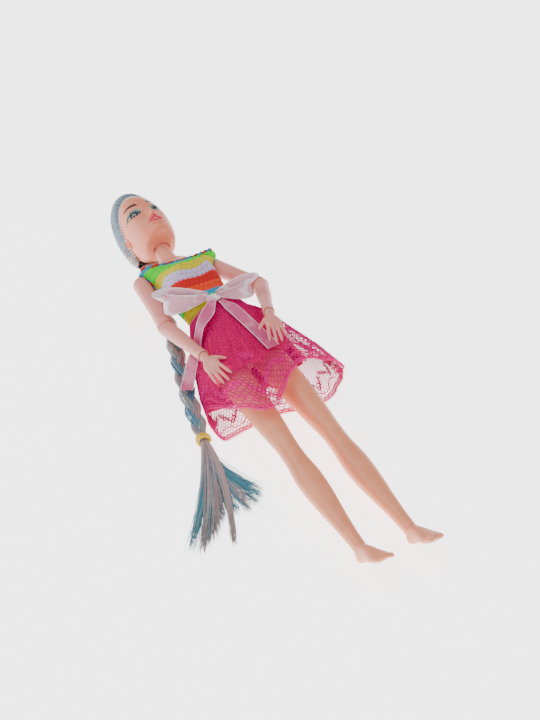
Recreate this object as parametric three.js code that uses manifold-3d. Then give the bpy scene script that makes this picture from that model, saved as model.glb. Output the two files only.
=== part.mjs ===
// A jointed fashion doll about 30 cm long, in a knit and lace dress, lying on its back.
// +X is the doll's left, +Y points to the crown of the head, +Z is up, away from the surface.
// The origin is under the pelvis, on the surface that the doll lies on.
import * as THREE from 'three';
import { mergeVertices } from 'three/addons/utils/BufferGeometryUtils.js';
import Module from 'manifold-3d';

const wasm = await Module();
wasm.setup();

// Driving dimensions, in millimetres and degrees
const gap = 0.3;
const overrun = 2;
const seat = 0.32;

// torso and neck
const torsoLength = 88;
const torsoFoot = 4;
const torsoHalfWidth = 17.4;
const torsoHalfDepth = 11;
const torsoAxisHeight = 15;
const torsoWall = 1.6;
const bustHeight = 4.2;
const bustSpread = 6;
const bustHalfSpacing = 6.6;
const neckRadius = 4.65;
const neckLength = 15.3;
const neckBaseAlong = torsoFoot + torsoLength;
const neckBaseHeight = 18.6;
const neckLean = 9.5;

// neck knob
const knobRadius = 5;
const knobReach = 21.3;
const knobStemRadius = 1.9;
const knobFlangeRadius = 3.2;
const knobFlangeLength = 1.5;
const knobFlangeDepth = 6;

// head
const headHalfWidth = 11.8;
const headHalfDepth = 16.6;
const headHeight = 46.5;
const headWall = 2.2;
const headTilt = -9.5;
const headDrop = 8;
const hairThickness = 2;
const earLength = 3.5;
const noseHeight = 3.2;
const eyeHalfSpacing = 6.8;

// shoulders and arms
const shoulderHalfSpacing = 20.3;
const shoulderShare = 0.932;
const shoulderAlong = torsoFoot + shoulderShare * torsoLength;
const shoulderHeight = 16.5;
const shoulderBallRadius = 4.6;
const upperArmLength = 41.3;
const elbowBallRadius = 4.1;
const elbowRimRadius = 4.6;
const elbowRim = 2.2;
const forearmLength = 39.8;
const wristBallRadius = 2.2;
const wristRimRadius = 2.85;
const wristRim = 0.7;
const palmLength = 11.6;
const palmHalfWidth = 4.1;
const palmHalfDepth = 1.75;
const fingerLength = 12;
const fingerRadius = 0.98;
const thumbLength = 8.6;

// hips and legs
const hipHalfSpacing = 10.8;
const hipAlong = 12;
const hipHeight = 14.4;
const hipBallRadius = 7.8;
const legLength = 139;
const footLength = 26.4;
const footHalfWidth = 4.7;
const footRise = 43;
const heelDrop = 4.4;
const toeLength = 2.6;
const toeRadius = 1;

// dress
const bodiceThickness = 0.8;
const bodiceSeat = 1.3 * seat;
const shoulderFlare = 0.36;
const leftSleeveReach = 7;
const leftShoulderLift = 1.6;
const clothThickness = 0.5;
const laceOffset = clothThickness + 3.4 * gap;
const skirtLength = 72;
const skirtHalfWidth = 40.5;
const skirtHeight = 23.4;
const liningShare = 0.73;
const foldDepth = 1.1;
const skirtFolds = 12;
const seamDrop = 6;
const waistShare = 0.432;
const waistAlong = torsoFoot + waistShare * torsoLength;
const closureWidth = 8;
const closureThickness = 1.4;
const closureFoot = -3;
const closureLength = torsoLength;
const neckEdgingRadius = 0.8;
const neckScallops = 16;

// ribbon
const ribbonWidth = 6.5;
const ribbonThickness = 0.4;
const knotRadius = 3;
const rightLoopLength = 22;
const leftLoopLength = 19;
const loopWidth = 9;
const loopSpread = 4.2;
const loopPuff = 1.7;

// hair
const strandRadius = 2.2;
const braidSway = 2.4;
const braidLift = 1;
const braidNeckRadius = 1.9;
const plaitPitch = 42;
const elasticRadius = 0.7;
const elasticPitch = 1.95;
const elasticTurns = 2;
const lockHalfWidth = 4.4;
const lockHalfDepth = 1.5;

// How each arm lies, in degrees from hanging straight down with the palm to the front
const armPoses = {
  right: { side: -1, raise: -1.1, out: 5.1, swivel: 31.1, bend: 14.7, turn: -66, flex: 9, lean: 7 },
  left: { side: 1, raise: 11.3, out: 12.8, swivel: -82.6, bend: 33.6, turn: 88, flex: 17, lean: 8 },
};
const legPoses = {
  right: { side: -1, swing: 3.4, spread: 0.6 },
  left: { side: 1, swing: 3.4, spread: 0.9 },
};
// How far each hinge travels from straight, which its slot leaves room for
const shoulderSlotRange = [0, 100];
const elbowSlotRange = [-3, 78];
const wristSlotRange = [-48, 48];
const hipSlotRange = [-6, 30];
const hipSwingRoom = 24;

const radians = THREE.MathUtils.degToRad;

// Finishes
function finish(color, roughness, metalness = 0) {
  return new THREE.MeshStandardMaterial({ color, roughness, metalness });
}
const vinyl = finish(0xd09a80, 0.55);
const limbPlastic = finish(0xd8aa9c, 0.5);
const innerPlastic = finish(0xe4c8b4, 0.5);
const hairFibre = finish(0x9a9aa4, 0.6);
const elasticRubber = finish(0xe8c020, 0.6);
const knit = finish(0xc8b820, 0.9);
const knitTrim = finish(0xc02020, 0.9);
const liningCloth = finish(0xd0105a, 0.5);
const laceCloth = finish(0xe0308c, 0.7);
const satin = finish(0xe8b4c0, 0.35);
const closureTape = finish(0xf0f0f0, 0.9);

// A closed skin over rings of points, its two ends closed at a point each
function skin(rings, firstTip, lastTip) {
  const columns = rings[0].length;
  const points = [...rings.flat(), firstTip, lastTip];
  const first = rings.length * columns;
  const index = [];
  for (let j = 0; j < columns; j += 1) {
    const next = (j + 1) % columns;
    index.push(first, next, j);
    for (let i = 0; i < rings.length - 1; i += 1) {
      const low = i * columns;
      const high = low + columns;
      index.push(low + j, low + next, high + next, low + j, high + next, high + j);
    }
    const end = (rings.length - 1) * columns;
    index.push(first + 1, end + j, end + next);
  }
  return facingOut(points, index);
}

// The same triangles with every face pointing out, whichever way the rings ran
function facingOut(points, index) {
  let volume = 0;
  for (let i = 0; i < index.length; i += 3) {
    const [a, b, c] = [points[index[i]], points[index[i + 1]], points[index[i + 2]]];
    volume += a.dot(b.clone().cross(c));
  }
  const geometry = new THREE.BufferGeometry().setFromPoints(points);
  geometry.setIndex(volume > 0 ? index : index.reverse());
  return geometry;
}

// The middle of a ring of points
function middle(ring) {
  const sum = ring.reduce((total, point) => total.add(point), new THREE.Vector3());
  return sum.divideScalar(ring.length);
}

// A solid over a grid, where place(u, v) gives a point for u from 0 to 1 and v once round
function loft(rows, columns, place) {
  const rings = [];
  for (let i = 0; i <= rows; i += 1) {
    rings.push(Array.from({ length: columns }, (_, j) => place(i / rows, j / columns)));
  }
  return skin(rings, middle(rings[0]), middle(rings[rows]));
}

// A tube of cloth: a surface place(u, v) thickened along its normal, from one offset to the other
function clothTube(rows, columns, place, inner, outer) {
  const step = 0.002;
  function offset(u, v, distance) {
    const along = place(Math.min(u + step, 1), v).sub(place(Math.max(u - step, 0), v));
    const around = place(u, v + step).sub(place(u, v - step));
    const normal = around.cross(along).normalize();
    return place(u, v).addScaledVector(normal, distance);
  }
  const points = [];
  for (const distance of [inner, outer]) {
    for (let i = 0; i <= rows; i += 1) {
      for (let j = 0; j < columns; j += 1) {
        const u = (distance === inner ? i : rows - i) / rows;
        points.push(offset(u, j / columns, distance));
      }
    }
  }
  const rings = 2 * (rows + 1);
  const index = [];
  for (let i = 0; i < rings; i += 1) {
    for (let j = 0; j < columns; j += 1) {
      const next = (j + 1) % columns;
      const low = i * columns;
      const high = ((i + 1) % rings) * columns;
      index.push(low + j, low + next, high + next, low + j, high + next, high + j);
    }
  }
  return facingOut(points, index);
}

// Values of a table at t, by a cubic curve through its rows, whose first column is t
function between(table, t) {
  const last = table.length - 1;
  const found = table.findIndex((row) => row[0] > t);
  const i = Math.max((found < 0 ? last : found) - 1, 0);
  const [before, from, to, after] = [table[Math.max(i - 1, 0)], table[i], table[i + 1],
    table[Math.min(i + 2, last)]];
  const span = to[0] - from[0];
  const s = Math.min(Math.max((t - from[0]) / span, 0), 1);
  return from.map((value, k) => {
    const leave = ((to[k] - before[k]) / (to[0] - before[0])) * span;
    const arrive = ((after[k] - value) / (after[0] - from[0])) * span;
    const rise = to[k] - value;
    return value + leave * s + (3 * rise - 2 * leave - arrive) * s ** 2
      + (leave + arrive - 2 * rise) * s ** 3;
  });
}

// A point of a unit outline that is round at power 2 and squarer above it
function outline(angle, power) {
  const [c, s] = [Math.cos(angle), Math.sin(angle)];
  return [Math.sign(c) * Math.abs(c) ** (2 / power), Math.sign(s) * Math.abs(s) ** (2 / power)];
}

// Joins and cuts of closed meshes
function solidOf(geometry) {
  const bare = geometry.clone();
  bare.deleteAttribute('normal');
  bare.deleteAttribute('uv');
  const merged = mergeVertices(bare);
  return new wasm.Manifold(new wasm.Mesh({
    numProp: 3,
    vertProperties: new Float32Array(merged.attributes.position.array),
    triVerts: new Uint32Array(merged.index.array),
  }));
}

function geometryOf(solid) {
  const mesh = solid.getMesh();
  const geometry = new THREE.BufferGeometry();
  geometry.setAttribute('position', new THREE.BufferAttribute(mesh.vertProperties, 3));
  geometry.setIndex(new THREE.BufferAttribute(mesh.triVerts, 1));
  return geometry;
}

function joined(...geometries) {
  return geometryOf(geometries.map(solidOf).reduce((sum, next) => sum.add(next)));
}

function cut(geometry, ...tools) {
  return geometryOf(tools.map(solidOf).reduce((rest, tool) => rest.subtract(tool), solidOf(geometry)));
}

function shared(geometry, other) {
  return geometryOf(solidOf(geometry).intersect(solidOf(other)));
}

// A round bar along the y axis between two heights
function bar(radius, low, high, sides = 10) {
  return new THREE.CylinderGeometry(radius, radius, high - low, sides).translate(0, (low + high) / 2, 0);
}

// A round bar along the x axis, centred on the origin
function crossBar(radius, length, sides = 10) {
  return bar(radius, -length / 2, length / 2, sides).rotateZ(radians(90));
}

function ball(radius, columns = 12, rows = 8) {
  return new THREE.SphereGeometry(radius, columns, rows);
}

function slab(width, length, height) {
  return new THREE.BoxGeometry(width, length, height);
}

// A limb hanging down the y axis from a ball at the origin; its shares are
// [share of the length, half width, front, back, shift forward], the last four of the ball's radius
function limb(ballRadius, length, shares, ballRows, rows, columns, end) {
  const rings = [];
  for (let i = 1; i < ballRows; i += 1) {
    const turn = radians(90) * (1 - i / ballRows);
    rings.push(ringAt(ballRadius * Math.sin(turn), [0, 1, 1, 1, 0], Math.cos(turn)));
  }
  for (let i = 0; i <= rows; i += 1) {
    const share = (end * i) / rows;
    rings.push(ringAt(-share * length, between(shares, share), 1));
  }
  function ringAt(y, [, width, front, back, shift], scale) {
    return Array.from({ length: columns }, (_, j) => {
      const [c, s] = outline((2 * Math.PI * j) / columns, 2);
      const depth = s > 0 ? front : back;
      return new THREE.Vector3(c * width * scale, y / ballRadius, s * depth * scale + shift)
        .multiplyScalar(ballRadius);
    });
  }
  return skin(rings, new THREE.Vector3(0, ballRadius, 0), middle(rings[rings.length - 1]));
}

// The sizes of a turning peg and its hinge, all worked out from the radius of the ball that it serves
function pegSizes(ballRadius, reach) {
  return {
    ballRadius,
    tongueRadius: ballRadius * 0.62,
    tongueThickness: ballRadius * 0.46,
    pinRadius: ballRadius * 0.2,
    shaftRadius: ballRadius * 0.36,
    headRadius: ballRadius * 0.6,
    headLength: ballRadius * 0.3,
    reach,
  };
}
const shoulderPeg = pegSizes(shoulderBallRadius, shoulderBallRadius * 2.2);
const elbowPeg = pegSizes(elbowBallRadius, elbowBallRadius * 2.4);
const wristPeg = pegSizes(wristBallRadius, wristBallRadius * 2.6);
const hipPeg = { ...pegSizes(hipBallRadius, hipHalfSpacing - gap / 2),
  tongueRadius: hipBallRadius * 0.45,
  tongueThickness: hipBallRadius * 0.3,
  shaftRadius: hipBallRadius * 0.24,
  pinRadius: hipBallRadius * 0.14,
  headRadius: hipBallRadius * 0.4,
  headLength: hipBallRadius * 0.12,
};

// A peg that turns about y in the limb above, with a tongue at the origin for a pin along x
function turningPeg(sizes) {
  const tongue = crossBar(sizes.tongueRadius, sizes.tongueThickness, 12);
  const stemLength = sizes.ballRadius + gap / 2;
  const stem = slab(sizes.tongueThickness, stemLength, 1.7 * sizes.shaftRadius).translate(0, stemLength / 2, 0);
  const shaft = bar(sizes.shaftRadius, sizes.ballRadius, sizes.reach, 8);
  const head = bar(sizes.headRadius, sizes.reach - sizes.headLength, sizes.reach, 8);
  return cut(joined(tongue, stem, shaft, head), crossBar(sizes.pinRadius + gap, sizes.ballRadius, 8));
}

// The room that a turning peg needs in the limb above: its bore and the pocket of its head
function pegRoom(sizes) {
  return joined(
    bar(sizes.shaftRadius + gap, 0, sizes.reach, 8),
    bar(sizes.headRadius + gap, sizes.reach - sizes.headLength - gap, sizes.reach + gap, 8),
  );
}

// The room that the tongue needs in the ball: a slot open over the hinge's travel, and the pin's hole
function tongueRoom(sizes, [from, to]) {
  const half = sizes.shaftRadius + gap;
  const far = sizes.ballRadius + overrun;
  const slot = new THREE.Shape();
  const [start, stop] = [radians(from), radians(to)];
  const [across, out] = [
    (turn, side) => new THREE.Vector2(-Math.sin(turn), Math.cos(turn)).multiplyScalar(side),
    (turn, length) => new THREE.Vector2(Math.cos(turn), Math.sin(turn)).multiplyScalar(length),
  ];
  const corners = [across(start, -half), across(start, -half).add(out(start, far)),
    out((2 * start + stop) / 3, far * 1.3), out((start + 2 * stop) / 3, far * 1.3),
    across(stop, half).add(out(stop, far)), across(stop, half)];
  slot.setFromPoints(corners);
  const depth = sizes.tongueThickness + 2 * gap;
  const wedge = new THREE.ExtrudeGeometry(slot, { depth, bevelEnabled: false })
    .translate(0, 0, -depth / 2)
    .applyMatrix4(new THREE.Matrix4().makeBasis(
      new THREE.Vector3(0, 1, 0), new THREE.Vector3(0, 0, 1), new THREE.Vector3(1, 0, 0)));
  return joined(
    wedge,
    crossBar(sizes.tongueRadius + gap, depth, 12),
    crossBar(sizes.pinRadius + gap, 2 * sizes.ballRadius + overrun, 8),
  );
}

// A hinge pin along x, with ends just below the ball's skin
function hingePin(sizes) {
  return crossBar(sizes.pinRadius, 2 * sizes.ballRadius * 0.93, 8);
}

// Torso: [share of the length, half width, front, back, rise of the axis, squareness]
const torsoShares = [
  [0, 0.29, 0.34, 0.5, -0.08, 2],
  [0.025, 0.55, 0.56, 0.78, -0.04, 2],
  [0.07, 0.82, 0.7, 0.93, 0, 2.1],
  [0.125, 0.97, 0.74, 0.985, 0, 2.2],
  [0.205, 0.93, 0.76, 0.94, 0.03, 2.2],
  [0.32, 0.78, 0.75, 0.73, 0.12, 2.1],
  [0.43, 0.7, 0.7, 0.66, 0.2, 2.1],
  [0.545, 0.74, 0.8, 0.72, 0.3, 2.2],
  [0.66, 0.8, 0.92, 0.8, 0.36, 2.3],
  [0.75, 0.83, 0.96, 0.86, 0.36, 2.4],
  [0.864, 0.86, 0.84, 0.86, 0.28, 2.6],
  [0.93, 0.9, 0.76, 0.8, 0.26, 2.7],
  [0.977, 0.8, 0.68, 0.66, 0.28, 2.5],
  [1.006, 0.52, 0.58, 0.5, 0.32, 2.1],
];

// A point of the torso's skin, standing proud of it by a distance
function torsoPoint(share, angle, proud) {
  const [, width, front, back, rise, power] = between(torsoShares, share);
  const [c, s] = outline(angle, power);
  const depth = (s > 0 ? front : back) * torsoHalfDepth + proud;
  const x = c * (width * torsoHalfWidth + proud);
  const y = torsoFoot + share * torsoLength;
  const bustAlong = torsoFoot + torsoLength * 0.735;
  const bust = [-1, 1].reduce((sum, side) => {
    const square = (x - side * bustHalfSpacing) ** 2 + (y - bustAlong) ** 2;
    return sum + bustHeight * Math.exp(-square / (2 * bustSpread ** 2));
  }, 0);
  const z = torsoAxisHeight + rise * torsoHalfDepth + s * depth + bust * Math.max(s, 0) ** 0.7;
  return new THREE.Vector3(x, y, z);
}

function torsoForm(from, to, rows, columns, proud) {
  return loft(rows, columns, (u, v) => torsoPoint(from + (to - from) * u, 2 * Math.PI * v, proud));
}

// The neck's frame: its base, with y along the neck
function onNeck(geometry) {
  return geometry.rotateX(radians(neckLean)).translate(0, neckBaseAlong, neckBaseHeight);
}

function neckForm() {
  const profile = [[0, -3], [1.4, -3], [1.2, -0.8], [1.06, 0.7], [1, 2.2], [1, neckLength / neckRadius],
    [0, neckLength / neckRadius]];
  const points = profile.map(([radius, along]) => new THREE.Vector2(radius, along).multiplyScalar(neckRadius));
  points[0].y = -neckRadius;
  points[1].y = -neckRadius;
  return onNeck(new THREE.LatheGeometry(points, 16));
}

// The knob that the head is pushed onto, held by its flange in the neck
function neckKnob() {
  const flangeTop = neckLength - knobFlangeDepth;
  return onNeck(joined(
    bar(knobStemRadius, flangeTop - knobFlangeLength, knobReach, 12),
    bar(knobFlangeRadius, flangeTop - knobFlangeLength, flangeTop, 12),
    ball(knobRadius, 12, 10).translate(0, knobReach, 0),
  ));
}

function neckBore() {
  const flangeTop = neckLength - knobFlangeDepth;
  return onNeck(joined(
    bar(knobStemRadius + gap, flangeTop, neckLength + overrun, 12),
    bar(knobFlangeRadius + gap, flangeTop - knobFlangeLength - gap, flangeTop + gap, 12),
  ));
}

// The two half shells of the torso part on a seam that runs through the shoulder sockets and the neck
function seamSide() {
  const high = headHeight * 2;
  const wide = torsoLength;
  const seam = [[-overrun - torsoFoot * 3, hipHeight], [hipAlong, hipHeight], [shoulderAlong, shoulderHeight],
    [neckBaseAlong, neckBaseHeight],
    [neckBaseAlong + 2 * neckLength, neckBaseHeight + 2 * neckLength * Math.tan(radians(neckLean))]];
  const shape = new THREE.Shape([...seam, [seam[4][0], high], [seam[0][0], high]]
    .map(([along, height]) => new THREE.Vector2(along, height)));
  return new THREE.ExtrudeGeometry(shape, { depth: wide, bevelEnabled: false })
    .translate(0, 0, -wide / 2)
    .applyMatrix4(new THREE.Matrix4().makeBasis(
      new THREE.Vector3(0, 1, 0), new THREE.Vector3(0, 0, 1), new THREE.Vector3(1, 0, 0)));
}

function shoulderAt(side) {
  return new THREE.Vector3(side * shoulderHalfSpacing, shoulderAlong, shoulderHeight);
}

function hipAt(side) {
  return new THREE.Vector3(side * hipHalfSpacing, hipAlong, hipHeight);
}

function torsoShells() {
  const outer = joined(torsoForm(0, 1.006, 17, 20, 0), neckForm());
  const inner = torsoForm(0.21, 0.96, 7, 12, -torsoWall);
  const sockets = [-1, 1].flatMap((side) => {
    const [shoulder, hip] = [shoulderAt(side), hipAt(side)];
    return [
      ball(shoulderBallRadius + 1.3 * gap).translate(...shoulder),
      pegRoom(shoulderPeg).rotateZ(radians(90 * side)).translate(...shoulder),
      ball(hipBallRadius + 1.6 * gap, 14, 8).translate(...hip),
      pegRoom(hipPeg).rotateZ(radians(90 * side)).translate(...hip),
      bar(hipBallRadius + 1.5 * gap, -hipBallRadius * 3, 0, 14).translate(...hip),
      bar(hipBallRadius + 1.5 * gap, -hipBallRadius * 3, 0, 14).rotateX(radians(-hipSwingRoom)).translate(...hip),
    ];
  });
  const hollow = cut(outer, inner, neckBore(), ...sockets);
  const frontSide = seamSide();
  return {
    front: shared(hollow, seamSide().translate(0, 0, gap / 2)),
    back: cut(hollow, frontSide.translate(0, 0, -gap / 2)),
  };
}

// Head: [share of the height from the neck hole, half width, front, back, drop at the front]
const headShares = [
  [0, 0.46, 0.34, 0.34, 0],
  [0.02, 0.62, 0.52, 0.42, 0.03],
  [0.045, 0.74, 0.76, 0.48, 0.1],
  [0.11, 0.84, 0.88, 0.6, 0.11],
  [0.2, 0.92, 0.92, 0.78, 0.08],
  [0.34, 0.98, 0.91, 1.02, 0.03],
  [0.5, 1, 0.9, 1.16, 0],
  [0.68, 0.96, 0.87, 1.11, 0],
  [0.83, 0.82, 0.74, 0.95, 0],
  [0.94, 0.56, 0.5, 0.66, 0],
  [0.99, 0.23, 0.21, 0.28, 0],
];

// A bump or hollow of the face: [height share, half width share, x share, y share, sign of depth]
function bump(x, y, centreX, centreY, spreadX, spreadY) {
  return Math.exp(-(((x - centreX) / spreadX) ** 2) - ((y - centreY) / spreadY) ** 2);
}

// The moulded relief of the face in front of the plain head form
function faceRelief(x, y) {
  const w = headHalfWidth;
  const nose = noseHeight * bump(x, y, 0, w * 0.33, w * 0.16, w * 0.2);
  const bridge = noseHeight * 0.5 * bump(x, y, 0, w * 0.75, w * 0.13, w * 0.42);
  const lips = noseHeight * 0.42 * bump(x, y, 0, -w * 0.04, w * 0.32, w * 0.15);
  const chin = noseHeight * 0.3 * bump(x, y, 0, -w * 0.5, w * 0.3, w * 0.22);
  const sockets = -noseHeight * 0.42 * [-1, 1].reduce(
    (sum, side) => sum + bump(x, y, side * eyeHalfSpacing, w * 0.88, w * 0.3, w * 0.22), 0);
  const cheeks = noseHeight * 0.16 * [-1, 1].reduce(
    (sum, side) => sum + bump(x, y, side * w * 0.58, w * 0.3, w * 0.3, w * 0.35), 0);
  return nose + bridge + lips + chin + sockets + cheeks;
}

// A point of the head, standing proud of its skin, in the frame of the neck knob
function headPoint(share, angle, proud) {
  const [, width, front, back, drop] = between(headShares, share);
  const [c, s] = outline(angle, 2.15);
  const depth = (s > 0 ? front : back) * headHalfDepth + proud;
  const x = c * (width * headHalfWidth + proud);
  const z = s * depth;
  const swell = proud * (2 * share - 1);
  const y = share * headHeight - headDrop - drop * Math.max(z, 0) * 2 + swell;
  const relief = s > 0 ? faceRelief(x, y) * s ** 0.5 : 0;
  return new THREE.Vector3(x, y, z + relief);
}

function headForm(rows, columns, proud) {
  return loft(rows, columns, (u, v) => headPoint((0.99 * (1 - Math.cos(Math.PI * u))) / 2, 2 * Math.PI * v, proud));
}

function ear(side, clearance = 0) {
  const [half, length, depth] = [0.5, 1, 0.62].map((share) => share * earLength + clearance);
  const dimple = ball(1, 6, 5).scale(0.3, 0.45, 0.3).scale(earLength, earLength, earLength)
    .translate(side * earLength * 0.5, -earLength * 0.1, earLength * 0.1);
  const lobe = ball(1, 8, 6).scale(half, length, depth);
  return (clearance > 0 ? lobe : cut(lobe, dimple))
    .translate(side * headHalfWidth * 0.93, headHeight * 0.22, -headHalfDepth * 0.22);
}

function headShell() {
  const neckHole = bar(neckRadius + 2 * gap, -headDrop - overrun, 0, 18).rotateX(radians(-headTilt));
  const inside = headForm(6, 10, -headWall).scale(0.97, 0.86, 0.97).translate(0, headHeight * 0.055, 0);
  return cut(joined(headForm(17, 18, 0), ear(-1), ear(1)), ball(knobRadius + 1.4 * gap, 12, 10), neckHole, inside);
}

// Everything behind the hairline, which runs over the forehead, in front of the ears and round the nape
function behindHairline() {
  const size = headHeight * 3;
  return slab(size, size, size).translate(0, 0, -size / 2)
    .rotateX(radians(36))
    .translate(0, headHeight * 0.6, headHalfDepth * 0.78);
}

function hairCap() {
  const outer = headForm(17, 18, hairThickness);
  const inner = headForm(17, 18, 1.5 * seat);
  const clear = slab(headHeight, headHeight, headHeight)
    .translate(0, -headHeight / 2 - headDrop * 0.05, 0);
  return cut(shared(outer, behindHairline()), inner, clear, ear(-1, 2 * gap), ear(1, 2 * gap));
}

// The head's frame: the neck knob, with the head's own tilt
function headFrame() {
  const knob = new THREE.Vector3(0, knobReach, 0).applyAxisAngle(new THREE.Vector3(1, 0, 0), radians(neckLean));
  const frame = new THREE.Group();
  frame.position.set(0, neckBaseAlong + knob.y, neckBaseHeight + knob.z);
  frame.rotation.x = radians(neckLean + headTilt);
  return frame;
}

// Upper arm and forearm: [share of the length, half width, front, back, shift]
const upperArmShares = [
  [0, 1, 1, 1, 0],
  [0.12, 0.98, 0.98, 0.98, 0],
  [0.35, 0.93, 0.95, 0.93, 0],
  [0.65, 0.9, 0.92, 0.9, 0],
  [0.9, elbowRimRadius / shoulderBallRadius, elbowRimRadius / shoulderBallRadius,
    elbowRimRadius / shoulderBallRadius, 0],
  [1, elbowRimRadius / shoulderBallRadius, elbowRimRadius / shoulderBallRadius,
    elbowRimRadius / shoulderBallRadius, 0],
];
const forearmShares = [
  [0, 1, 1, 1, 0],
  [0.12, 0.92, 0.92, 0.92, 0],
  [0.35, 0.87, 0.89, 0.89, 0],
  [0.65, 0.7, 0.72, 0.72, 0],
  [0.9, wristRimRadius / elbowBallRadius, wristRimRadius / elbowBallRadius,
    wristRimRadius / elbowBallRadius, 0],
  [1, wristRimRadius / elbowBallRadius, wristRimRadius / elbowBallRadius,
    wristRimRadius / elbowBallRadius, 0],
];

function upperArm(side) {
  const form = limb(shoulderBallRadius, upperArmLength, upperArmShares, 3, 7, 12,
    1 - elbowRim / upperArmLength);
  return cut(form,
    tongueRoom(shoulderPeg, shoulderSlotRange).rotateY(radians(90 * side)).rotateZ(radians(90 * side)),
    ball(elbowBallRadius + gap).translate(0, -upperArmLength, 0),
    pegRoom(elbowPeg).translate(0, -upperArmLength, 0));
}

function forearm() {
  const form = limb(elbowBallRadius, forearmLength, forearmShares, 3, 7, 12, 1 - wristRim / forearmLength);
  return cut(form,
    tongueRoom(elbowPeg, elbowSlotRange),
    ball(wristBallRadius + gap).translate(0, -forearmLength, 0),
    pegRoom(wristPeg).translate(0, -forearmLength, 0));
}

// A finger from a knuckle, pointing down y, turned to the side and curled to the palm
function finger(length, radius, x, y, turn, curl) {
  return loft(3, 6, (u, v) => {
    const bend = radians(curl) * u;
    const thick = radius * (1 - 0.3 * u) * Math.sqrt(Math.max(1 - u ** 8, 0.06));
    const [c, s] = outline(2 * Math.PI * v, 2);
    return new THREE.Vector3(c * thick, -u * length * Math.cos(bend / 2), s * thick * 0.92
      - u * length * Math.sin(bend / 2));
  }).rotateZ(radians(turn)).translate(x, y, 0);
}

// [length share, place across the palm, knuckle share of the palm, turn, curl], index finger first
const fingerShares = [
  [0.9, -0.7, 0.9, -10, 16],
  [1, -0.22, 0.95, -3, 20],
  [0.95, 0.25, 0.93, 2, 22],
  [0.76, 0.7, 0.86, 8, 22],
];

function hand(side, lean) {
  const palm = loft(5, 8, (u, v) => {
    const shares = between([[0, 0.42, 0.9], [0.25, 0.55, 0.95], [0.55, 0.95, 1], [0.85, 1, 0.85], [1, 0.84, 0.55]], u);
    const [c, s] = outline(2 * Math.PI * v, 2.3);
    return new THREE.Vector3(c * shares[1] * palmHalfWidth, -u * palmLength, s * shares[2] * palmHalfDepth);
  });
  const fingers = fingerShares.map(([length, across, along, turn, curl]) => finger(
    length * fingerLength, fingerRadius, side * across * palmHalfWidth, -along * palmLength + fingerRadius,
    side * turn, curl));
  const thumb = finger(thumbLength, fingerRadius * 1.12, -side * palmHalfWidth * 0.5, -palmLength * 0.3,
    -side * 42, 24);
  const leaning = joined(palm, ...fingers, thumb).rotateZ(radians(side * lean));
  return cut(joined(leaning, ball(wristBallRadius)), tongueRoom(wristPeg, wristSlotRange));
}

// Leg: [share of the length, half width, front, back, shift forward]
const legShares = [
  [0, 1, 1, 1, 0],
  [0.08, 1.04, 1.02, 1.04, 0.02],
  [0.16, 1.04, 1, 1, 0.05],
  [0.25, 0.99, 0.95, 0.9, 0.08],
  [0.34, 0.91, 0.88, 0.78, 0.12],
  [0.43, 0.79, 0.77, 0.7, 0.14],
  [0.514, 0.67, 0.68, 0.6, 0.14],
  [0.58, 0.67, 0.62, 0.72, 0.12],
  [0.67, 0.8, 0.66, 0.9, 0.08],
  [0.76, 0.75, 0.6, 0.78, 0.04],
  [0.86, 0.58, 0.51, 0.56, 0],
  [0.95, 0.44, 0.46, 0.44, 0],
  [1, 0.4, 0.5, 0.44, 0],
];
// Foot: [share of the length from the heel, half width, instep, sole]
const footShares = [
  [0.03, 0.4, 0.5, 0.38],
  [0.1, 0.62, 0.9, 0.6],
  [0.24, 0.68, 1.2, 0.52],
  [0.42, 0.74, 1.08, 0.34],
  [0.6, 0.88, 0.78, 0.4],
  [0.76, 1, 0.52, 0.48],
  [0.88, 0.96, 0.34, 0.34],
  [0.95, 0.86, 0.24, 0.24],
];

function foot(side) {
  const sole = loft(8, 10, (u, v) => {
    const share = 0.03 + 0.92 * u;
    const [, width, instep, under] = between(footShares, share);
    const [c, s] = outline(2 * Math.PI * v, 2.2);
    return new THREE.Vector3(c * width * footHalfWidth, -share * footLength,
      s * (s > 0 ? instep : under) * footHalfWidth);
  });
  const toes = Array.from({ length: 5 }, (_, i) => {
    const size = i === 0 ? 1.3 : 1 - 0.06 * i;
    const across = -side * (0.7 - 0.36 * i) * footHalfWidth;
    const along = -footLength * (0.94 - 0.018 * i * i * 0.5);
    return ball(1, 6, 4).scale(toeRadius * size, toeLength * size, toeRadius * size * 0.95)
      .translate(across, along, 0);
  });
  return joined(sole, ...toes)
    .translate(0, footLength * 0.13, 0)
    .rotateX(radians(-footRise))
    .translate(0, -legLength - heelDrop * 0.78, -heelDrop * 0.62);
}

function leg(side) {
  const form = limb(hipBallRadius, legLength, legShares, 4, 14, 12, 1.02);
  const slot = tongueRoom(hipPeg, hipSlotRange).rotateY(radians(90 * side)).rotateZ(radians(90 * side));
  return cut(joined(form, foot(side)), slot);
}

// Skirt: [share of the length from the waist, reach to the right, reach to the left, top, underside]
const skirtShares = [
  [0, 0.345, 0.345, 1.16, 0.33],
  [0.1, 0.4, 0.48, 1.15, 0.24],
  [0.2, 0.46, 0.7, 1.13, 0.16],
  [0.3, 0.49, 0.8, 1.1, 0.165],
  [0.42, 0.553, 0.88, 1.07, 0.16],
  [0.6, 0.655, 1, 1.04, 0.165],
  [0.72, 0.7, 1.06, 1.02, 0.13],
  [0.8, 0.725, 1.09, 1, 0.1],
  [1, 0.8, 1.13, 0.96, 0.08],
  [1.2, 0.82, 1.15, 0.92, 0.08],
];
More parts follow.
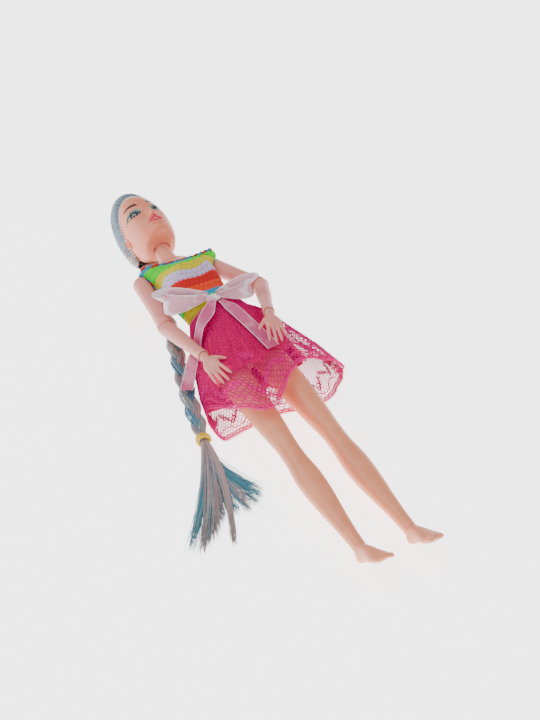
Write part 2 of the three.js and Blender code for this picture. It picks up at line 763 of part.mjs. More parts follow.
// How the skirt falls away to each side: [share of the way across, share of the height by the hips, by the hem]
const drapeShares = [
  [-1, 0, 0], [-0.97, 0.26, 0.06], [-0.92, 0.46, 0.17], [-0.86, 0.64, 0.32], [-0.79, 0.79, 0.5], [-0.72, 0.9, 0.74],
  [-0.65, 0.96, 0.9], [-0.55, 1, 0.98], [0.1, 1, 1], [0.4, 0.94, 0.93], [0.62, 0.8, 0.76], [0.8, 0.56, 0.5],
  [0.93, 0.26, 0.22], [1, 0, 0],
];

// A point of the skirt's form: a tent over the hips and thighs, flat where it lies on the surface
function skirtPoint(share, angle) {
  const [, right, left, top, under] = between(skirtShares, share);
  const [c, s] = [Math.cos(angle), Math.sin(angle)];
  const half = ((right + left) / 2) * skirtHalfWidth;
  const waist = Math.max(0.35 - share, 0) / 0.35;
  const edge = skirtHeight * (0.08 + 0.5 * waist);
  const low = under * skirtHeight;
  const span = top * skirtHeight - low - edge;
  const [, byHips, byHem] = between(drapeShares, c);
  const drape = byHips + (byHem - byHips) * Math.min(Math.max((share - 0.4) / 0.35, 0), 1);
  const dome = (1 - Math.abs(c) ** 2.2) ** 0.6;
  const height = s > 0 ? edge + span * (drape + (dome - drape) * waist) : edge * (1 - Math.abs(s) ** 0.35);
  const ripple = foldDepth * Math.min(share * 1.4, 1) * Math.cos(skirtFolds * angle + 5 * share);
  const fold = s > 0 ? ripple * (0.35 + 0.65 * Math.max(c, 0)) : ripple * 0.15;
  return new THREE.Vector3(
    ((left - right) / 2) * skirtHalfWidth + c * half + fold * c,
    waistAlong - share * skirtLength - seamDrop * Math.max(-c, 0) * Math.max(1 - share * 3, 0),
    low + height + (s > 0 ? fold * s : 0),
  );
}

// A place on the upper side of the skirt, standing proud of the lace by a distance
function onSkirt(x, y, proud) {
  const height = (px, py) => {
    const share = Math.max((waistAlong - py) / skirtLength, 0);
    const [, right, left] = between(skirtShares, share);
    const c = (2 * px - (left - right) * skirtHalfWidth) / ((left + right) * skirtHalfWidth);
    return skirtPoint(share, Math.acos(Math.min(Math.max(c, -0.99), 0.99))).z;
  };
  const normal = new THREE.Vector3(height(x - 1, y) - height(x + 1, y), height(x, y - 1) - height(x, y + 1), 2);
  return new THREE.Vector3(x, y, height(x, y))
    .addScaledVector(normal.normalize(), laceOffset + clothThickness + proud);
}

// Where the lace ends round the skirt: [angle in degrees, share of the skirt's length]
const laceHemShares = [
  [0, 0.75], [35, 0.84], [80, 1], [112, 1.08], [150, 0.95], [175, 0.78], [210, 1],
  [270, 0.97], [325, 0.9], [360, 0.75],
];

function laceHem(v) {
  return between(laceHemShares, (((v % 1) + 1) % 1) * 360)[1];
}

function skirtLining() {
  return clothTube(5, 48, (u, v) => skirtPoint(0.01 + (liningShare - 0.01) * u, 2 * Math.PI * v),
    0, clothThickness);
}

function skirtLace() {
  return clothTube(6, 48, (u, v) => skirtPoint(laceHem(v) * u, 2 * Math.PI * v), laceOffset,
    laceOffset + clothThickness);
}

// A point of the bodice, which follows the torso and is draped over the shoulder balls
function bodicePoint(share, angle) {
  const at = torsoPoint(share, angle, bodiceSeat);
  const byNeckline = Math.exp(-((Math.max(1 - share, 0) / 0.09) ** 2));
  const overShoulder = Math.exp(-(((share - 0.93) / 0.1) ** 2)) * Math.max(Math.sin(angle), 0) ** 0.6;
  at.x *= 1 + shoulderFlare * byNeckline;
  at.x += Math.max(at.x, 0) / torsoHalfWidth * leftSleeveReach * overShoulder;
  at.y += leftShoulderLift * byNeckline * Math.exp(-(((at.x - torsoHalfWidth) / (torsoHalfWidth / 2)) ** 2));
  [-1, 1].forEach((side) => {
    const centre = shoulderAt(side);
    const out = at.clone().sub(centre);
    const drape = shoulderBallRadius + 3 * gap + seat;
    if (out.length() < drape) {
      at.copy(centre).addScaledVector(out.normalize(), drape);
    }
  });
  return at;
}

// Bodice: a knit tube from below the waist to the neckline, cut out round both arms
function bodice() {
  const tube = clothTube(11, 24, (u, v) => bodicePoint(0.995 - 0.655 * u, 2 * Math.PI * v),
    0, bodiceThickness);
  return cut(tube, ...[-1, 1].flatMap((side) => {
    const [x, y, z] = shoulderAt(side);
    const arm = bar(shoulderBallRadius + 2.4 * gap, -shoulderBallRadius * 3, 0, 12);
    const outside = slab(shoulderBallRadius * 2, shoulderBallRadius * 3, shoulderBallRadius * 4);
    return [
      arm.clone().translate(x, y, z),
      arm.rotateZ(radians(side * 15)).translate(x, y, z),
      outside.translate(x + side * shoulderBallRadius * (side > 0 ? 0.95 : 0.72) + side * shoulderBallRadius, y, z),
      ball(shoulderBallRadius + 2 * gap).translate(x, y, z),
      pegRoom(shoulderPeg).rotateZ(radians(90 * side)).translate(x, y, z),
    ];
  }));
}

// The scalloped edging round the neck
function neckEdging() {
  return loftRing(neckScallops * 3, 5, (turn, v) => {
    const at = bodicePoint(0.998, turn);
    const thick = neckEdgingRadius * (0.72 + 0.28 * Math.cos(neckScallops * turn));
    const outward = new THREE.Vector3(Math.cos(turn), 0, Math.sin(turn));
    at.y += neckEdgingRadius * 1.5;
    return at.addScaledVector(outward, Math.cos(2 * Math.PI * v) * thick)
      .add(new THREE.Vector3(0, Math.sin(2 * Math.PI * v) * thick, 0));
  });
}

// A closed ring, where place(turn, v) gives a point for turn once round the ring and v once round its section
function loftRing(rows, columns, place) {
  const points = [];
  const index = [];
  for (let i = 0; i < rows; i += 1) {
    for (let j = 0; j < columns; j += 1) {
      points.push(place((2 * Math.PI * i) / rows, j / columns));
      const [low, high, next] = [i * columns, ((i + 1) % rows) * columns, (j + 1) % columns];
      index.push(low + j, low + next, high + next, low + j, high + next, high + j);
    }
  }
  return facingOut(points, index);
}

// A direction turned square to another
function squareTo(direction, along) {
  return direction.clone().addScaledVector(along, -direction.dot(along)).normalize();
}

// A flat strip: a path at(u) with its width along across(u), of a thickness along the third direction
function strip(rows, at, across, width, thickness) {
  return loft(rows, 4, (u, v) => {
    const step = 0.01;
    const along = at(Math.min(u + step, 1)).sub(at(Math.max(u - step, 0))).normalize();
    const side = across(u, along);
    const up = side.clone().cross(along).normalize();
    const corner = Math.round(v * 4);
    const wide = corner === 0 || corner === 3 ? 0.5 : -0.5;
    const thick = corner < 2 ? 0.5 : -0.5;
    return at(u).addScaledVector(side, wide * width(u)).addScaledVector(up, thick * thickness);
  });
}

// The tape that closes the dress down the back; the doll lies on its lower, flat stretch
function backClosure() {
  const at = (u) => {
    const along = closureFoot + closureLength * (1 - u);
    const share = (along - torsoFoot) / torsoLength;
    const skirtShare = (waistAlong - along) / skirtLength;
    const bodiceBack = torsoPoint(share, -Math.PI / 2, 0).z - 2 * seat - bodiceThickness;
    const skirtBack = skirtPoint(Math.max(skirtShare, 0), -Math.PI / 2).z - laceOffset - clothThickness - 2 * seat;
    const top = skirtShare > -0.04 ? Math.min(skirtBack, bodiceBack) : bodiceBack;
    return new THREE.Vector3(0, along, Math.max(skirtShare > 0.22 ? 0 : top - closureThickness, 0)
      + closureThickness / 2);
  };
  return strip(24, at, () => new THREE.Vector3(1, 0, 0), () => closureWidth, closureThickness);
}

// The knot of the bow, which is sewn to the front of the waist
const knotAt = [-0.13 * knotRadius, waistAlong - 0.17 * knotRadius, 1.333 * skirtHeight];

function bowKnot() {
  return loft(6, 10, (u, v) => {
    const turn = Math.PI * (0.06 + 0.88 * u);
    const swell = Math.sin(turn);
    const crease = 1 + 0.08 * Math.cos(6 * Math.PI * v);
    return new THREE.Vector3(Math.cos(2 * Math.PI * v) * swell * crease, -Math.cos(turn) * 1.15,
      Math.sin(2 * Math.PI * v) * swell * 0.62 * crease).multiplyScalar(knotRadius);
  }).translate(...knotAt);
}

// A bow loop: ribbon out from the knot, folded over at the tip and back in front of itself
function bowLoop(direction, length, width, spread) {
  const out = new THREE.Vector3(...direction).normalize();
  const toHead = new THREE.Vector3(0, 0.5, 0.86);
  const across = toHead.addScaledVector(out, -toHead.dot(out)).normalize();
  const front = across.clone().cross(out).normalize();
  front.multiplyScalar(front.z < 0 ? -1 : 1);
  const root = new THREE.Vector3(...knotAt).addScaledVector(out, knotRadius * 0.1 + gap);
  const at = (u) => {
    const phase = Math.PI * (0.03 + 0.94 * u);
    return root.clone().addScaledVector(out, length * Math.sin(phase) ** 0.8)
      .addScaledVector(across, spread * (1 - 2 * u) * Math.sin(phase) ** 0.5)
      .addScaledVector(front, -loopPuff * Math.cos(phase) * (0.45 + 0.55 * Math.sin(phase)));
  };
  return strip(20, at, () => across.clone(), (u) => width * (0.45 + 0.55 * Math.sin(Math.PI * u) ** 0.7),
    ribbonThickness);
}

// The two loose ends of the ribbon, by hand: the right one runs under the forearm, the left one on the skirt
const rightTailRoute = [[-2.4, 37.4, 30.6], [-8.4, 30.5, 29.8], [-14.6, 25, 28.2], [-18, 21.3, 24.1],
  [-19.9, 18.9, 18.5], [-24, 15.6, 15.1], [-27.4, 11.4, 12.1], [-30.4, 7.2, 9.9], [-33.2, 3.4, 9]];
const leftTailRoute = [[1.8, 37], [4.5, 29], [6.6, 18], [8.2, 7], [9.6, -6]];

function tailStrip(rows, route, across, width) {
  const curve = new THREE.CatmullRomCurve3(route);
  return strip(rows, (u) => curve.getPoint(u), (u, along) => squareTo(across(curve.getPoint(u)), along),
    (u) => width(u) * Math.min(0.4 + 3 * u, 1), ribbonThickness);
}

function rightTail() {
  const route = rightTailRoute.map((point) => new THREE.Vector3(...point));
  return tailStrip(32, route, () => new THREE.Vector3(-0.12, 1, 0.1),
    (u) => ribbonWidth * (1 - 0.45 * Math.exp(-(((u - 0.42) / 0.13) ** 2))));
}

function leftTail() {
  const proud = 0.35 * foldDepth + ribbonThickness / 2 + 1.5 * seat;
  const route = leftTailRoute.map(([x, y]) => onSkirt(x, y, proud));
  return tailStrip(14, route, ({ x, y }) => onSkirt(x + 2, y, proud).sub(onSkirt(x - 2, y, proud)), () => ribbonWidth);
}

// The braid's route from the nape to its elastic, under the right shoulder and along the right side
const braidRoute = [[-6.8, 102.5, 4.6], [-10, 92, 4.1], [-12.5, 79, 3.8], [-15.5, 64, 3.8], [-19.5, 49, 3.8],
  [-24.6, 31, 3.8], [-30, 12, 3.8], [-34, -4, 3.8], [-37.4, -19, 4], [-40, -29.8, 4.7]];

function braidFrame() {
  return new THREE.CatmullRomCurve3(braidRoute.map((point) => new THREE.Vector3(...point)));
}

// The braid's skin: in each direction from its middle, the furthest reach of its three round strands
function braid() {
  const curve = braidFrame();
  const length = curve.getLength();
  return loft(44, 12, (u, v) => {
    const gather = Math.min(1, 0.1 + (1 - u) * 9);
    const thick = braidNeckRadius + (strandRadius - braidNeckRadius) * gather;
    const at = curve.getPointAt(u);
    const side = new THREE.Vector3(0, 0, 1).cross(curve.getTangentAt(u)).normalize();
    const [c, s] = outline(2 * Math.PI * v, 2);
    const reach = Math.max(...[0, 1, 2].map((k) => {
      const phase = 2 * Math.PI * ((u * length) / plaitPitch + k / 3);
      const wide = braidSway * gather * Math.sin(phase);
      const high = braidLift * gather * Math.sin(2 * phase);
      const [onto, past] = [wide * c + high * s, wide * s - high * c];
      return onto + Math.sqrt(Math.max(thick ** 2 - past ** 2, 0));
    }));
    return at.addScaledVector(side, reach * c).add(new THREE.Vector3(0, 0, reach * s));
  });
}

// The gathered hair between the nape and the top of the braid
function napeGather() {
  const stations = [[0, -2.5, 110.6, 4.9, 7, 2.3], [0.5, -4.8, 106.8, 4.9, 5.4, 3], [1, -6.6, 103.8, 4.7, 4.2, 3.2]];
  return loft(5, 12, (u, v) => {
    const [, x, y, z, half, height] = between(stations, u);
    const [c, s] = outline(2 * Math.PI * v, 2);
    return new THREE.Vector3(x + c * half, y, z + s * height);
  });
}

// The frame of the elastic: where the braid ends, with y along it
function elasticFrame() {
  const curve = braidFrame();
  const along = curve.getTangentAt(1).negate();
  const side = along.clone().cross(new THREE.Vector3(0, 0, 1)).normalize();
  const up = side.clone().cross(along);
  return new THREE.Matrix4().makeBasis(side, along, up)
    .setPosition(curve.getPointAt(1));
}

// The elastic: one unbroken band wound twice round the end of the braid
function hairElastic() {
  const around = braidNeckRadius + braidLift * 0.15 + seat + elasticRadius;
  const point = (u, lift, out) => {
    const turn = 2 * Math.PI * elasticTurns * u;
    return new THREE.Vector3(Math.cos(turn) * (around + out), elasticPitch * (elasticTurns * u - elasticTurns / 2) + lift,
      Math.sin(turn) * (around + out));
  };
  const rows = 24 * elasticTurns;
  const leastGap = Math.min(...Array.from({ length: rows - 23 }, (_, i) => (
    point(i / rows, 0, 0).distanceTo(point((i + 24) / rows, 0, 0)) - 2 * elasticRadius)));
  console.log(`hair_elastic: least gap between its turns ${leastGap.toFixed(2)} mm`);
  return loft(rows, 6, (u, v) => {
    const [c, s] = outline(2 * Math.PI * v, 2);
    return point(u, s * elasticRadius, c * elasticRadius);
  }).applyMatrix4(elasticFrame());
}

// The loose tail: locks from the elastic to their tips, by hand, [x, y, z of the tip, bow to the side]
const lockTips = [[-74, -90, 2.2, -3], [-66, -86, 2.4, -1], [-58.5, -80, 2.2, 0], [-56, -97, 1.4, 6],
  [-47, -80, 2.4, -1], [-38, -78, 2.2, -2], [-29, -70, 2, -4]];

// A lock: [share of its length, half width, half depth]
const lockShares = [[0, 0.38, 1.1], [0.06, 0.42, 1.15], [0.2, 0.8, 1.3], [0.5, 1, 0.95], [0.8, 0.9, 0.8], [1, 0.3, 0.5]];

function looseTail() {
  const curveEnd = braidFrame();
  const [root, along] = [curveEnd.getPointAt(1), curveEnd.getTangentAt(1)];
  const locks = lockTips.map(([x, y, z, bow], i) => {
    const tip = new THREE.Vector3(x, y, z);
    const leave = root.clone().addScaledVector(along, tip.distanceTo(root) * 0.4).add(new THREE.Vector3(bow, 0, -1));
    const curve = new THREE.QuadraticBezierCurve3(root, leave, tip);
    return loft(7, 7, (u, v) => {
      const t = 0.02 + 0.98 * u;
      const at = curve.getPoint(t);
      const swell = between(lockShares, t);
      const [c, s] = outline(2 * Math.PI * v, 2);
      const lift = (i % 2) * 0.25 * lockHalfDepth * t;
      return at.add(new THREE.Vector3(c * swell[1] * lockHalfWidth, 0, s * swell[2] * lockHalfDepth + lift));
    });
  });
  return joined(...locks);
}

// Assembly
const doll = new THREE.Group();

function add(parent, name, geometry, material) {
  geometry.computeVertexNormals();
  const mesh = new THREE.Mesh(geometry, material);
  mesh.name = name;
  parent.add(mesh);
  return mesh;
}

function nested(parent, x, y, z) {
  const group = new THREE.Group();
  group.position.set(x, y, z);
  parent.add(group);
  return group;
}

function addArm(name, pose) {
  const { side } = pose;
  const shoulder = nested(doll, ...shoulderAt(side));
  shoulder.rotation.x = -radians(pose.raise);
  const peg = turningPeg(shoulderPeg).rotateY(radians(90)).rotateZ(radians(90 * side));
  add(shoulder, `shoulder_peg_${name}`, peg, innerPlastic);
  const arm = nested(shoulder, 0, 0, 0);
  arm.rotation.z = radians(side * pose.out);
  add(arm, `upper_arm_${name}`, upperArm(side), limbPlastic);
  add(arm, `shoulder_pin_${name}`, hingePin(shoulderPeg).rotateY(radians(90)), innerPlastic);
  const swivel = nested(arm, 0, -upperArmLength, 0);
  swivel.rotation.y = radians(pose.swivel);
  add(swivel, `elbow_peg_${name}`, turningPeg(elbowPeg), innerPlastic);
  const elbow = nested(swivel, 0, 0, 0);
  elbow.rotation.x = -radians(pose.bend);
  add(elbow, `forearm_${name}`, forearm(), limbPlastic);
  add(elbow, `elbow_pin_${name}`, hingePin(elbowPeg), innerPlastic);
  const turn = nested(elbow, 0, -forearmLength, 0);
  turn.rotation.y = radians(pose.turn);
  add(turn, `wrist_peg_${name}`, turningPeg(wristPeg), innerPlastic);
  const wrist = nested(turn, 0, 0, 0);
  wrist.rotation.x = radians(pose.flex);
  add(wrist, `hand_${name}`, hand(side, pose.lean), limbPlastic);
  add(wrist, `wrist_pin_${name}`, hingePin(wristPeg), innerPlastic);
}

function addLeg(name, pose) {
  const { side } = pose;
  const hip = nested(doll, ...hipAt(side));
  hip.rotation.x = radians(pose.swing);
  add(hip, `hip_peg_${name}`, turningPeg(hipPeg).rotateY(radians(90)).rotateZ(radians(90 * side)), innerPlastic);
  const thigh = nested(hip, 0, 0, 0);
  thigh.rotation.z = radians(side * pose.spread);
  add(thigh, `leg_${name}`, leg(side), vinyl);
  add(thigh, `hip_pin_${name}`, hingePin(hipPeg).rotateY(radians(90)), innerPlastic);
}

const shells = torsoShells();
add(doll, 'torso_front', shells.front, limbPlastic);
add(doll, 'torso_back', shells.back, limbPlastic);
add(doll, 'neck_knob', neckKnob(), innerPlastic);
const head = headFrame();
doll.add(head);
add(head, 'head_shell', headShell(), vinyl);
add(head, 'hair_cap', hairCap(), hairFibre);
addArm('right', armPoses.right);
addArm('left', armPoses.left);
addLeg('right', legPoses.right);
addLeg('left', legPoses.left);
add(doll, 'bodice', bodice(), knit);
add(doll, 'neck_edging', neckEdging(), knitTrim);
add(doll, 'skirt_lining', skirtLining(), liningCloth);
add(doll, 'skirt_lace', skirtLace(), laceCloth);
add(doll, 'back_closure', backClosure(), closureTape);
add(doll, 'bow_knot', bowKnot(), satin);
add(doll, 'bow_loop_right', bowLoop([-21, 7, -4.5], rightLoopLength, loopWidth, loopSpread), satin);
add(doll, 'bow_loop_left', bowLoop([18, 6, 3], leftLoopLength, loopWidth, loopSpread), satin);
add(doll, 'bow_tail_right', rightTail(), satin);
add(doll, 'bow_tail_left', leftTail(), satin);
add(doll, 'nape_gather', napeGather(), hairFibre);
add(doll, 'braid', braid(), hairFibre);
add(doll, 'hair_elastic', hairElastic(), elasticRubber);
add(doll, 'braid_tail', looseTail(), hairFibre);

export default doll;
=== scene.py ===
# A jointed fashion doll in a knit and lace dress, lying on its back on a pale floor.
import math

import bmesh
import bpy
import numpy as np
from mathutils import Matrix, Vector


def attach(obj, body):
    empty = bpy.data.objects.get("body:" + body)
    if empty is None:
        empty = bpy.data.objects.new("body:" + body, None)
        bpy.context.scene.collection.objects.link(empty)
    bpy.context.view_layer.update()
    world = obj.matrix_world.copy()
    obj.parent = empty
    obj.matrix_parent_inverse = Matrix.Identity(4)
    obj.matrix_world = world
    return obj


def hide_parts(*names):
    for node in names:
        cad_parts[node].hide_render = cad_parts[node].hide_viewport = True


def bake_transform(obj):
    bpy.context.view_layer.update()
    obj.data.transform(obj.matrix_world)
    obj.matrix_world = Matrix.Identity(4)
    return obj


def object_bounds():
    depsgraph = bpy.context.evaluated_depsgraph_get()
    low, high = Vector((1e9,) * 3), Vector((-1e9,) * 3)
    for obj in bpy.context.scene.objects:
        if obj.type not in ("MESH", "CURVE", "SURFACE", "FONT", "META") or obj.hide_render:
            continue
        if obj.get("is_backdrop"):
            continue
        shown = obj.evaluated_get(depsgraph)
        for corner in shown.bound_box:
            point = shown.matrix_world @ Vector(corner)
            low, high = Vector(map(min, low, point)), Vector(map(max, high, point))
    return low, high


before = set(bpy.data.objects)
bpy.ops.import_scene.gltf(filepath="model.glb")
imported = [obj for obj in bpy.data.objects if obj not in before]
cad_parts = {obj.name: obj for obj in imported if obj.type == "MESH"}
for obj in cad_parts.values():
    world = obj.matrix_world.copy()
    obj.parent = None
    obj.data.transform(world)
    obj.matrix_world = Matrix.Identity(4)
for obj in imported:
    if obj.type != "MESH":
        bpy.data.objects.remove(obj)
cad_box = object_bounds()

# The torso is a hollow shell of hard plastic in two moulded halves, with sockets for the limbs and a short
# neck. It is a shade paler than the legs, with a faint mottle from the mould.
MM = 0.001
ARM_COLOUR = (0.76, 0.265, 0.225)
TORSO_COLOUR = (0.84, 0.31, 0.22)
INNER_COLOUR = (0.80, 0.60, 0.50)
CREASE = 38


class Value:
    """A number in a material: Python sums on it add the nodes that work it out."""

    def __init__(self, finish, socket):
        self.finish = finish
        self.socket = socket

    def maths(self, operation, *others):
        return self.finish.node("ShaderNodeMath", {"operation": operation}, self, *others)

    def __add__(self, other):
        return self.maths("ADD", other)

    def __mul__(self, other):
        return self.maths("MULTIPLY", other)

    def __sub__(self, other):
        return self.maths("SUBTRACT", other)

    def __rsub__(self, other):
        return self.finish.node("ShaderNodeMath", {"operation": "SUBTRACT"}, other, self)

    def __neg__(self):
        return self * -1.0

    def __pow__(self, power):
        return self.maths("POWER", power)

    def __abs__(self):
        return self.maths("ABSOLUTE")

    __radd__ = __add__
    __rmul__ = __mul__

    def squared(self):
        return self * self

    def sine(self):
        return self.maths("SINE")

    def most(self, other):
        return self.maths("MAXIMUM", other)

    def between(self, low, high):
        """0 at low and 1 at high, with a smooth rise, either way round."""
        smooth = {"interpolation_type": "SMOOTHSTEP"}
        return self.finish.node("ShaderNodeMapRange", smooth, self, low, high, 0.0, 1.0)


class Finish:
    """A material in the making; constants go on the shader's own sockets."""

    def __init__(self, name, **constants):
        self.material = bpy.data.materials.new(name)
        self.material.use_nodes = True
        self.nodes = self.material.node_tree.nodes
        self.links = self.material.node_tree.links
        self.shader = self.nodes["Principled BSDF"]
        for socket, value in constants.items():
            self.shader.inputs[socket.replace("_", " ")].default_value = value

    def node(self, kind, settings, *values, output=0, **named):
        """A node of a kind, its settings made first, then its sockets, by place or by name."""
        made = self.nodes.new(kind)
        for setting, value in settings.items():
            if setting == "stops":
                self.fill(made.color_ramp, value)
            else:
                setattr(made, setting, value)
        sockets = [(made.inputs[i], v) for i, v in enumerate(values)]
        sockets += [(made.inputs[n.replace("_", " ")], v) for n, v in named.items()]
        for socket, value in sockets:
            self.put(socket, value)
        return Value(self, made.outputs[output])

    def fill(self, ramp, stops):
        while len(ramp.elements) < len(stops):
            ramp.elements.new(1.0)
        for element, (place, colour) in zip(ramp.elements, stops):
            element.position = place
            element.color = (*colour, 1.0)

    def put(self, socket, value):
        if isinstance(value, Value):
            self.links.new(value.socket, socket)
        elif isinstance(value, tuple) and len(value) == 3 and socket.type == "RGBA":
            socket.default_value = (*value, 1.0)
        else:
            socket.default_value = value

    def place(self):
        """The point's own x, y and z in the doll's frame, in millimetres."""
        point = self.node("ShaderNodeTexCoord", {}, output="Object")
        parts = [self.node("ShaderNodeSeparateXYZ", {}, point, output=i) for i in range(3)]
        return [part * (1 / MM) for part in parts]

    def attribute(self, name, output="Fac"):
        return self.node("ShaderNodeAttribute", {"attribute_name": name}, output=output)

    def vector(self, x, y, z=0.0):
        return self.node("ShaderNodeCombineXYZ", {}, x, y, z)

    def noise(self, scale, detail, *place):
        """Noise over x, y and z, which are the point's own place unless others are given."""
        vector = self.vector(*(place or self.place()))
        return self.node("ShaderNodeTexNoise", {}, Vector=vector, Scale=scale, Detail=detail, Roughness=0.55)

    def twist(self, *scales):
        """Threads that run slantwise through the piece, 1 on a thread and -1 between two."""
        x, y, z = (part * scale for part, scale in zip(self.place(), scales))
        return (x + y + z).sine()

    def mix(self, share, first, second):
        mixer = self.nodes.new("ShaderNodeMix")
        mixer.data_type = "RGBA"
        for index, value in ((0, share), (6, first), (7, second)):
            self.put(mixer.inputs[index], value)
        return Value(self, mixer.outputs[2])

    def ramp(self, value, stops):
        return self.node("ShaderNodeValToRGB", {"stops": stops}, value)

    def use(self, colour=None, roughness=None, alpha=None, height=None, strength=0.3, distance=0.1 * MM):
        """Joins what varies to the shader and gives the material."""
        for socket, value in (("Base Color", colour), ("Roughness", roughness), ("Alpha", alpha)):
            if value is not None:
                self.put(self.shader.inputs[socket], value)
        if height is not None:
            normal = self.node("ShaderNodeBump", {}, Strength=strength, Distance=distance, Height=height)
            self.put(self.shader.inputs["Normal"], normal)
        return self.material


def darker(colour, share):
    """Each part of a colour times a share."""
    return tuple(c * share for c in colour)


def rolled(across, up, angle):
    """Two coordinates, seen in a frame turned by an angle in radians."""
    c, s = math.cos(angle), math.sin(angle)
    return across * c + up * s, up * c - across * s


def waxy(name):
    """A finish that lets a little light in, redder as it goes deeper."""
    return Finish(name, Subsurface_Weight=0.12, Subsurface_Scale=0.0015, Subsurface_Radius=(1.0, 0.4, 0.25))


def plastic(name, colour, mottle=0.06, roughness=0.42):
    """Moulded plastic: one colour with a faint cloudiness, and a roughness that drifts with handling."""
    finish = waxy(name)
    cloud = finish.noise(0.09, 4.0)
    clouded = tuple(c * (1 - mottle) * s for c, s in zip(colour, (1.0, 0.96, 0.94)))
    shade = finish.mix(cloud.between(0.35, 0.65), clouded, colour)
    return finish.use(shade, roughness + 0.16 * (cloud - 0.5), height=finish.noise(2.5, 2.0), strength=0.06,
                      distance=0.05 * MM)


def dressed(name, mesh, body, material, slot, *nodes):
    """An object for a finished mesh, on its body, standing for its nodes."""
    piece = bpy.data.objects.new(name, mesh)
    bpy.context.scene.collection.objects.link(piece)
    mesh.materials.clear()
    mesh.materials.append(material)
    if body:
        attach(piece, body)
    if nodes:
        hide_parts(*nodes)
    return piece


def merged_copy(node, crease):
    """A node's mesh with its doubled corners merged, smooth but for edges sharper than the crease."""
    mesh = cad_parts[node].data.copy()
    work = bmesh.new()
    work.from_mesh(mesh)
    bmesh.ops.remove_doubles(work, verts=work.verts, dist=0.01 * MM)
    work.to_mesh(mesh)
    work.free()
    mesh.polygons.foreach_set("use_smooth", np.ones(len(mesh.polygons), bool))
    mesh.set_sharp_from_angle(angle=math.radians(crease))
    return mesh


arm_plastic = plastic("arm_plastic", ARM_COLOUR)
inner_plastic = plastic("inner_plastic", INNER_COLOUR, roughness=0.5)
torso_plastic = plastic("torso_plastic", TORSO_COLOUR)
for node, name, used, slot in (("torso_front", "torso_front_shell", torso_plastic, "limb_plastic"),
                               ("torso_back", "torso_back_shell", torso_plastic, "limb_plastic"),
                               ("neck_knob", "neck_knob_moulding", inner_plastic, "inner_plastic")):
    dressed(name, merged_copy(node, CREASE), "torso", used, slot, node)

# The arms are solid mouldings: an upper arm from the shoulder ball to a ring at the elbow, a forearm down to
# a thin cuff at the wrist, and a hand with a ball of its own. Pegs and pins of plain plastic join them.
SHOULDER = (20.3, 86.0, 16.5)
SHOULDER_BALL = 4.6
UPPER_ARM = 41.3
ELBOW_BALL = 4.1
ELBOW_RIM_DEPTH = 2.2
FOREARM = 39.8
WRIST_BALL = 2.2
WRIST_RIM_DEPTH = 0.7
SOCKET_GAP = 0.3
SNUG = 0.19
# each arm: side, then degrees of raise, out, elbow swivel and bend, wrist turn and bend, and the hand's lean
ARM_POSES = {"right": (-1, -1.1, 5.1, 31.1, 14.7, -66, 9, 7), "left": (1, 11.3, 12.8, -82.6, 33.6, 88, 17, 8)}
UPPER_ARM_GRID = (64, 48)
FOREARM_GRID = (64, 44)
UPPER_ARM_SHARES = np.array([
    [0, 1, 1, 1, 0], [0.12, 0.98, 0.98, 0.98, 0], [0.35, 0.93, 0.95, 0.93, 0], [0.65, 0.9, 0.92, 0.9, 0],
    [0.86, 0.97, 0.98, 0.97, 0], [0.9, 1, 1, 1, 0], [1, 1, 1, 1, 0],
])
FOREARM_SHARES = np.array([
    [0, 1, 1, 1, 0], [0.12, 0.92, 0.92, 0.92, 0], [0.35, 0.87, 0.89, 0.89, 0], [0.65, 0.7, 0.72, 0.72, 0],
    [0.9, 0.66, 0.67, 0.67, 0], [0.95, 0.68, 0.69, 0.69, 0], [1, 0.695, 0.695, 0.695, 0],
])


def between(table, at):
    """A table's values at any share, by a cubic curve through its rows, whose first column is the share."""
    at = np.asarray(at, float)
    row = np.clip(np.searchsorted(table[:, 0], at, side="right") - 1, 0, len(table) - 2)
    before, start = table[np.maximum(row - 1, 0)], table[row]
    end, after = table[row + 1], table[np.minimum(row + 2, len(table) - 1)]
    span = (end - start)[..., :1]
    s = np.clip((at[..., None] - start[..., :1]) / span, 0, 1)
    leave = (end - before) / (end - before)[..., :1] * span
    arrive = (after - start) / (after - start)[..., :1] * span
    rise = end - start
    return start + leave * s + (3 * rise - 2 * leave - arrive) * s**2 + (leave + arrive - 2 * rise) * s**3


def stacked(*parts):
    """x, y and z arrays as one array of points."""
    return np.stack(np.broadcast_arrays(*parts), axis=-1).astype(float)


def grid(rows, columns, wrap=True):
    """Two arrays from 0 to 1: down the rows, and round the columns, without the last one where it wraps."""
    down = np.linspace(0, 1, rows)
    across = np.arange(columns) / columns if wrap else np.linspace(0, 1, columns)
    return np.meshgrid(down, across, indexing="ij")


def turn(axis, degrees):
    """A turn about x, y or z as a 4 by 4 matrix."""
    c, s = math.cos(math.radians(degrees)), math.sin(math.radians(degrees))
    made = np.eye(4)
    first, second = {"x": (1, 2), "y": (2, 0), "z": (0, 1)}[axis]
    made[first, first] = made[second, second] = c
    made[second, first] = s
    made[first, second] = -s
    return made


def shift(x, y, z):
    """A shift by x, y and z as a 4 by 4 matrix."""
    made = np.eye(4)
    made[:3, 3] = (x, y, z)
    return made


def moved(points, matrix):
    """Points turned and then shifted by a 4 by 4 matrix."""
    return points @ matrix[:3, :3].T + matrix[:3, 3]


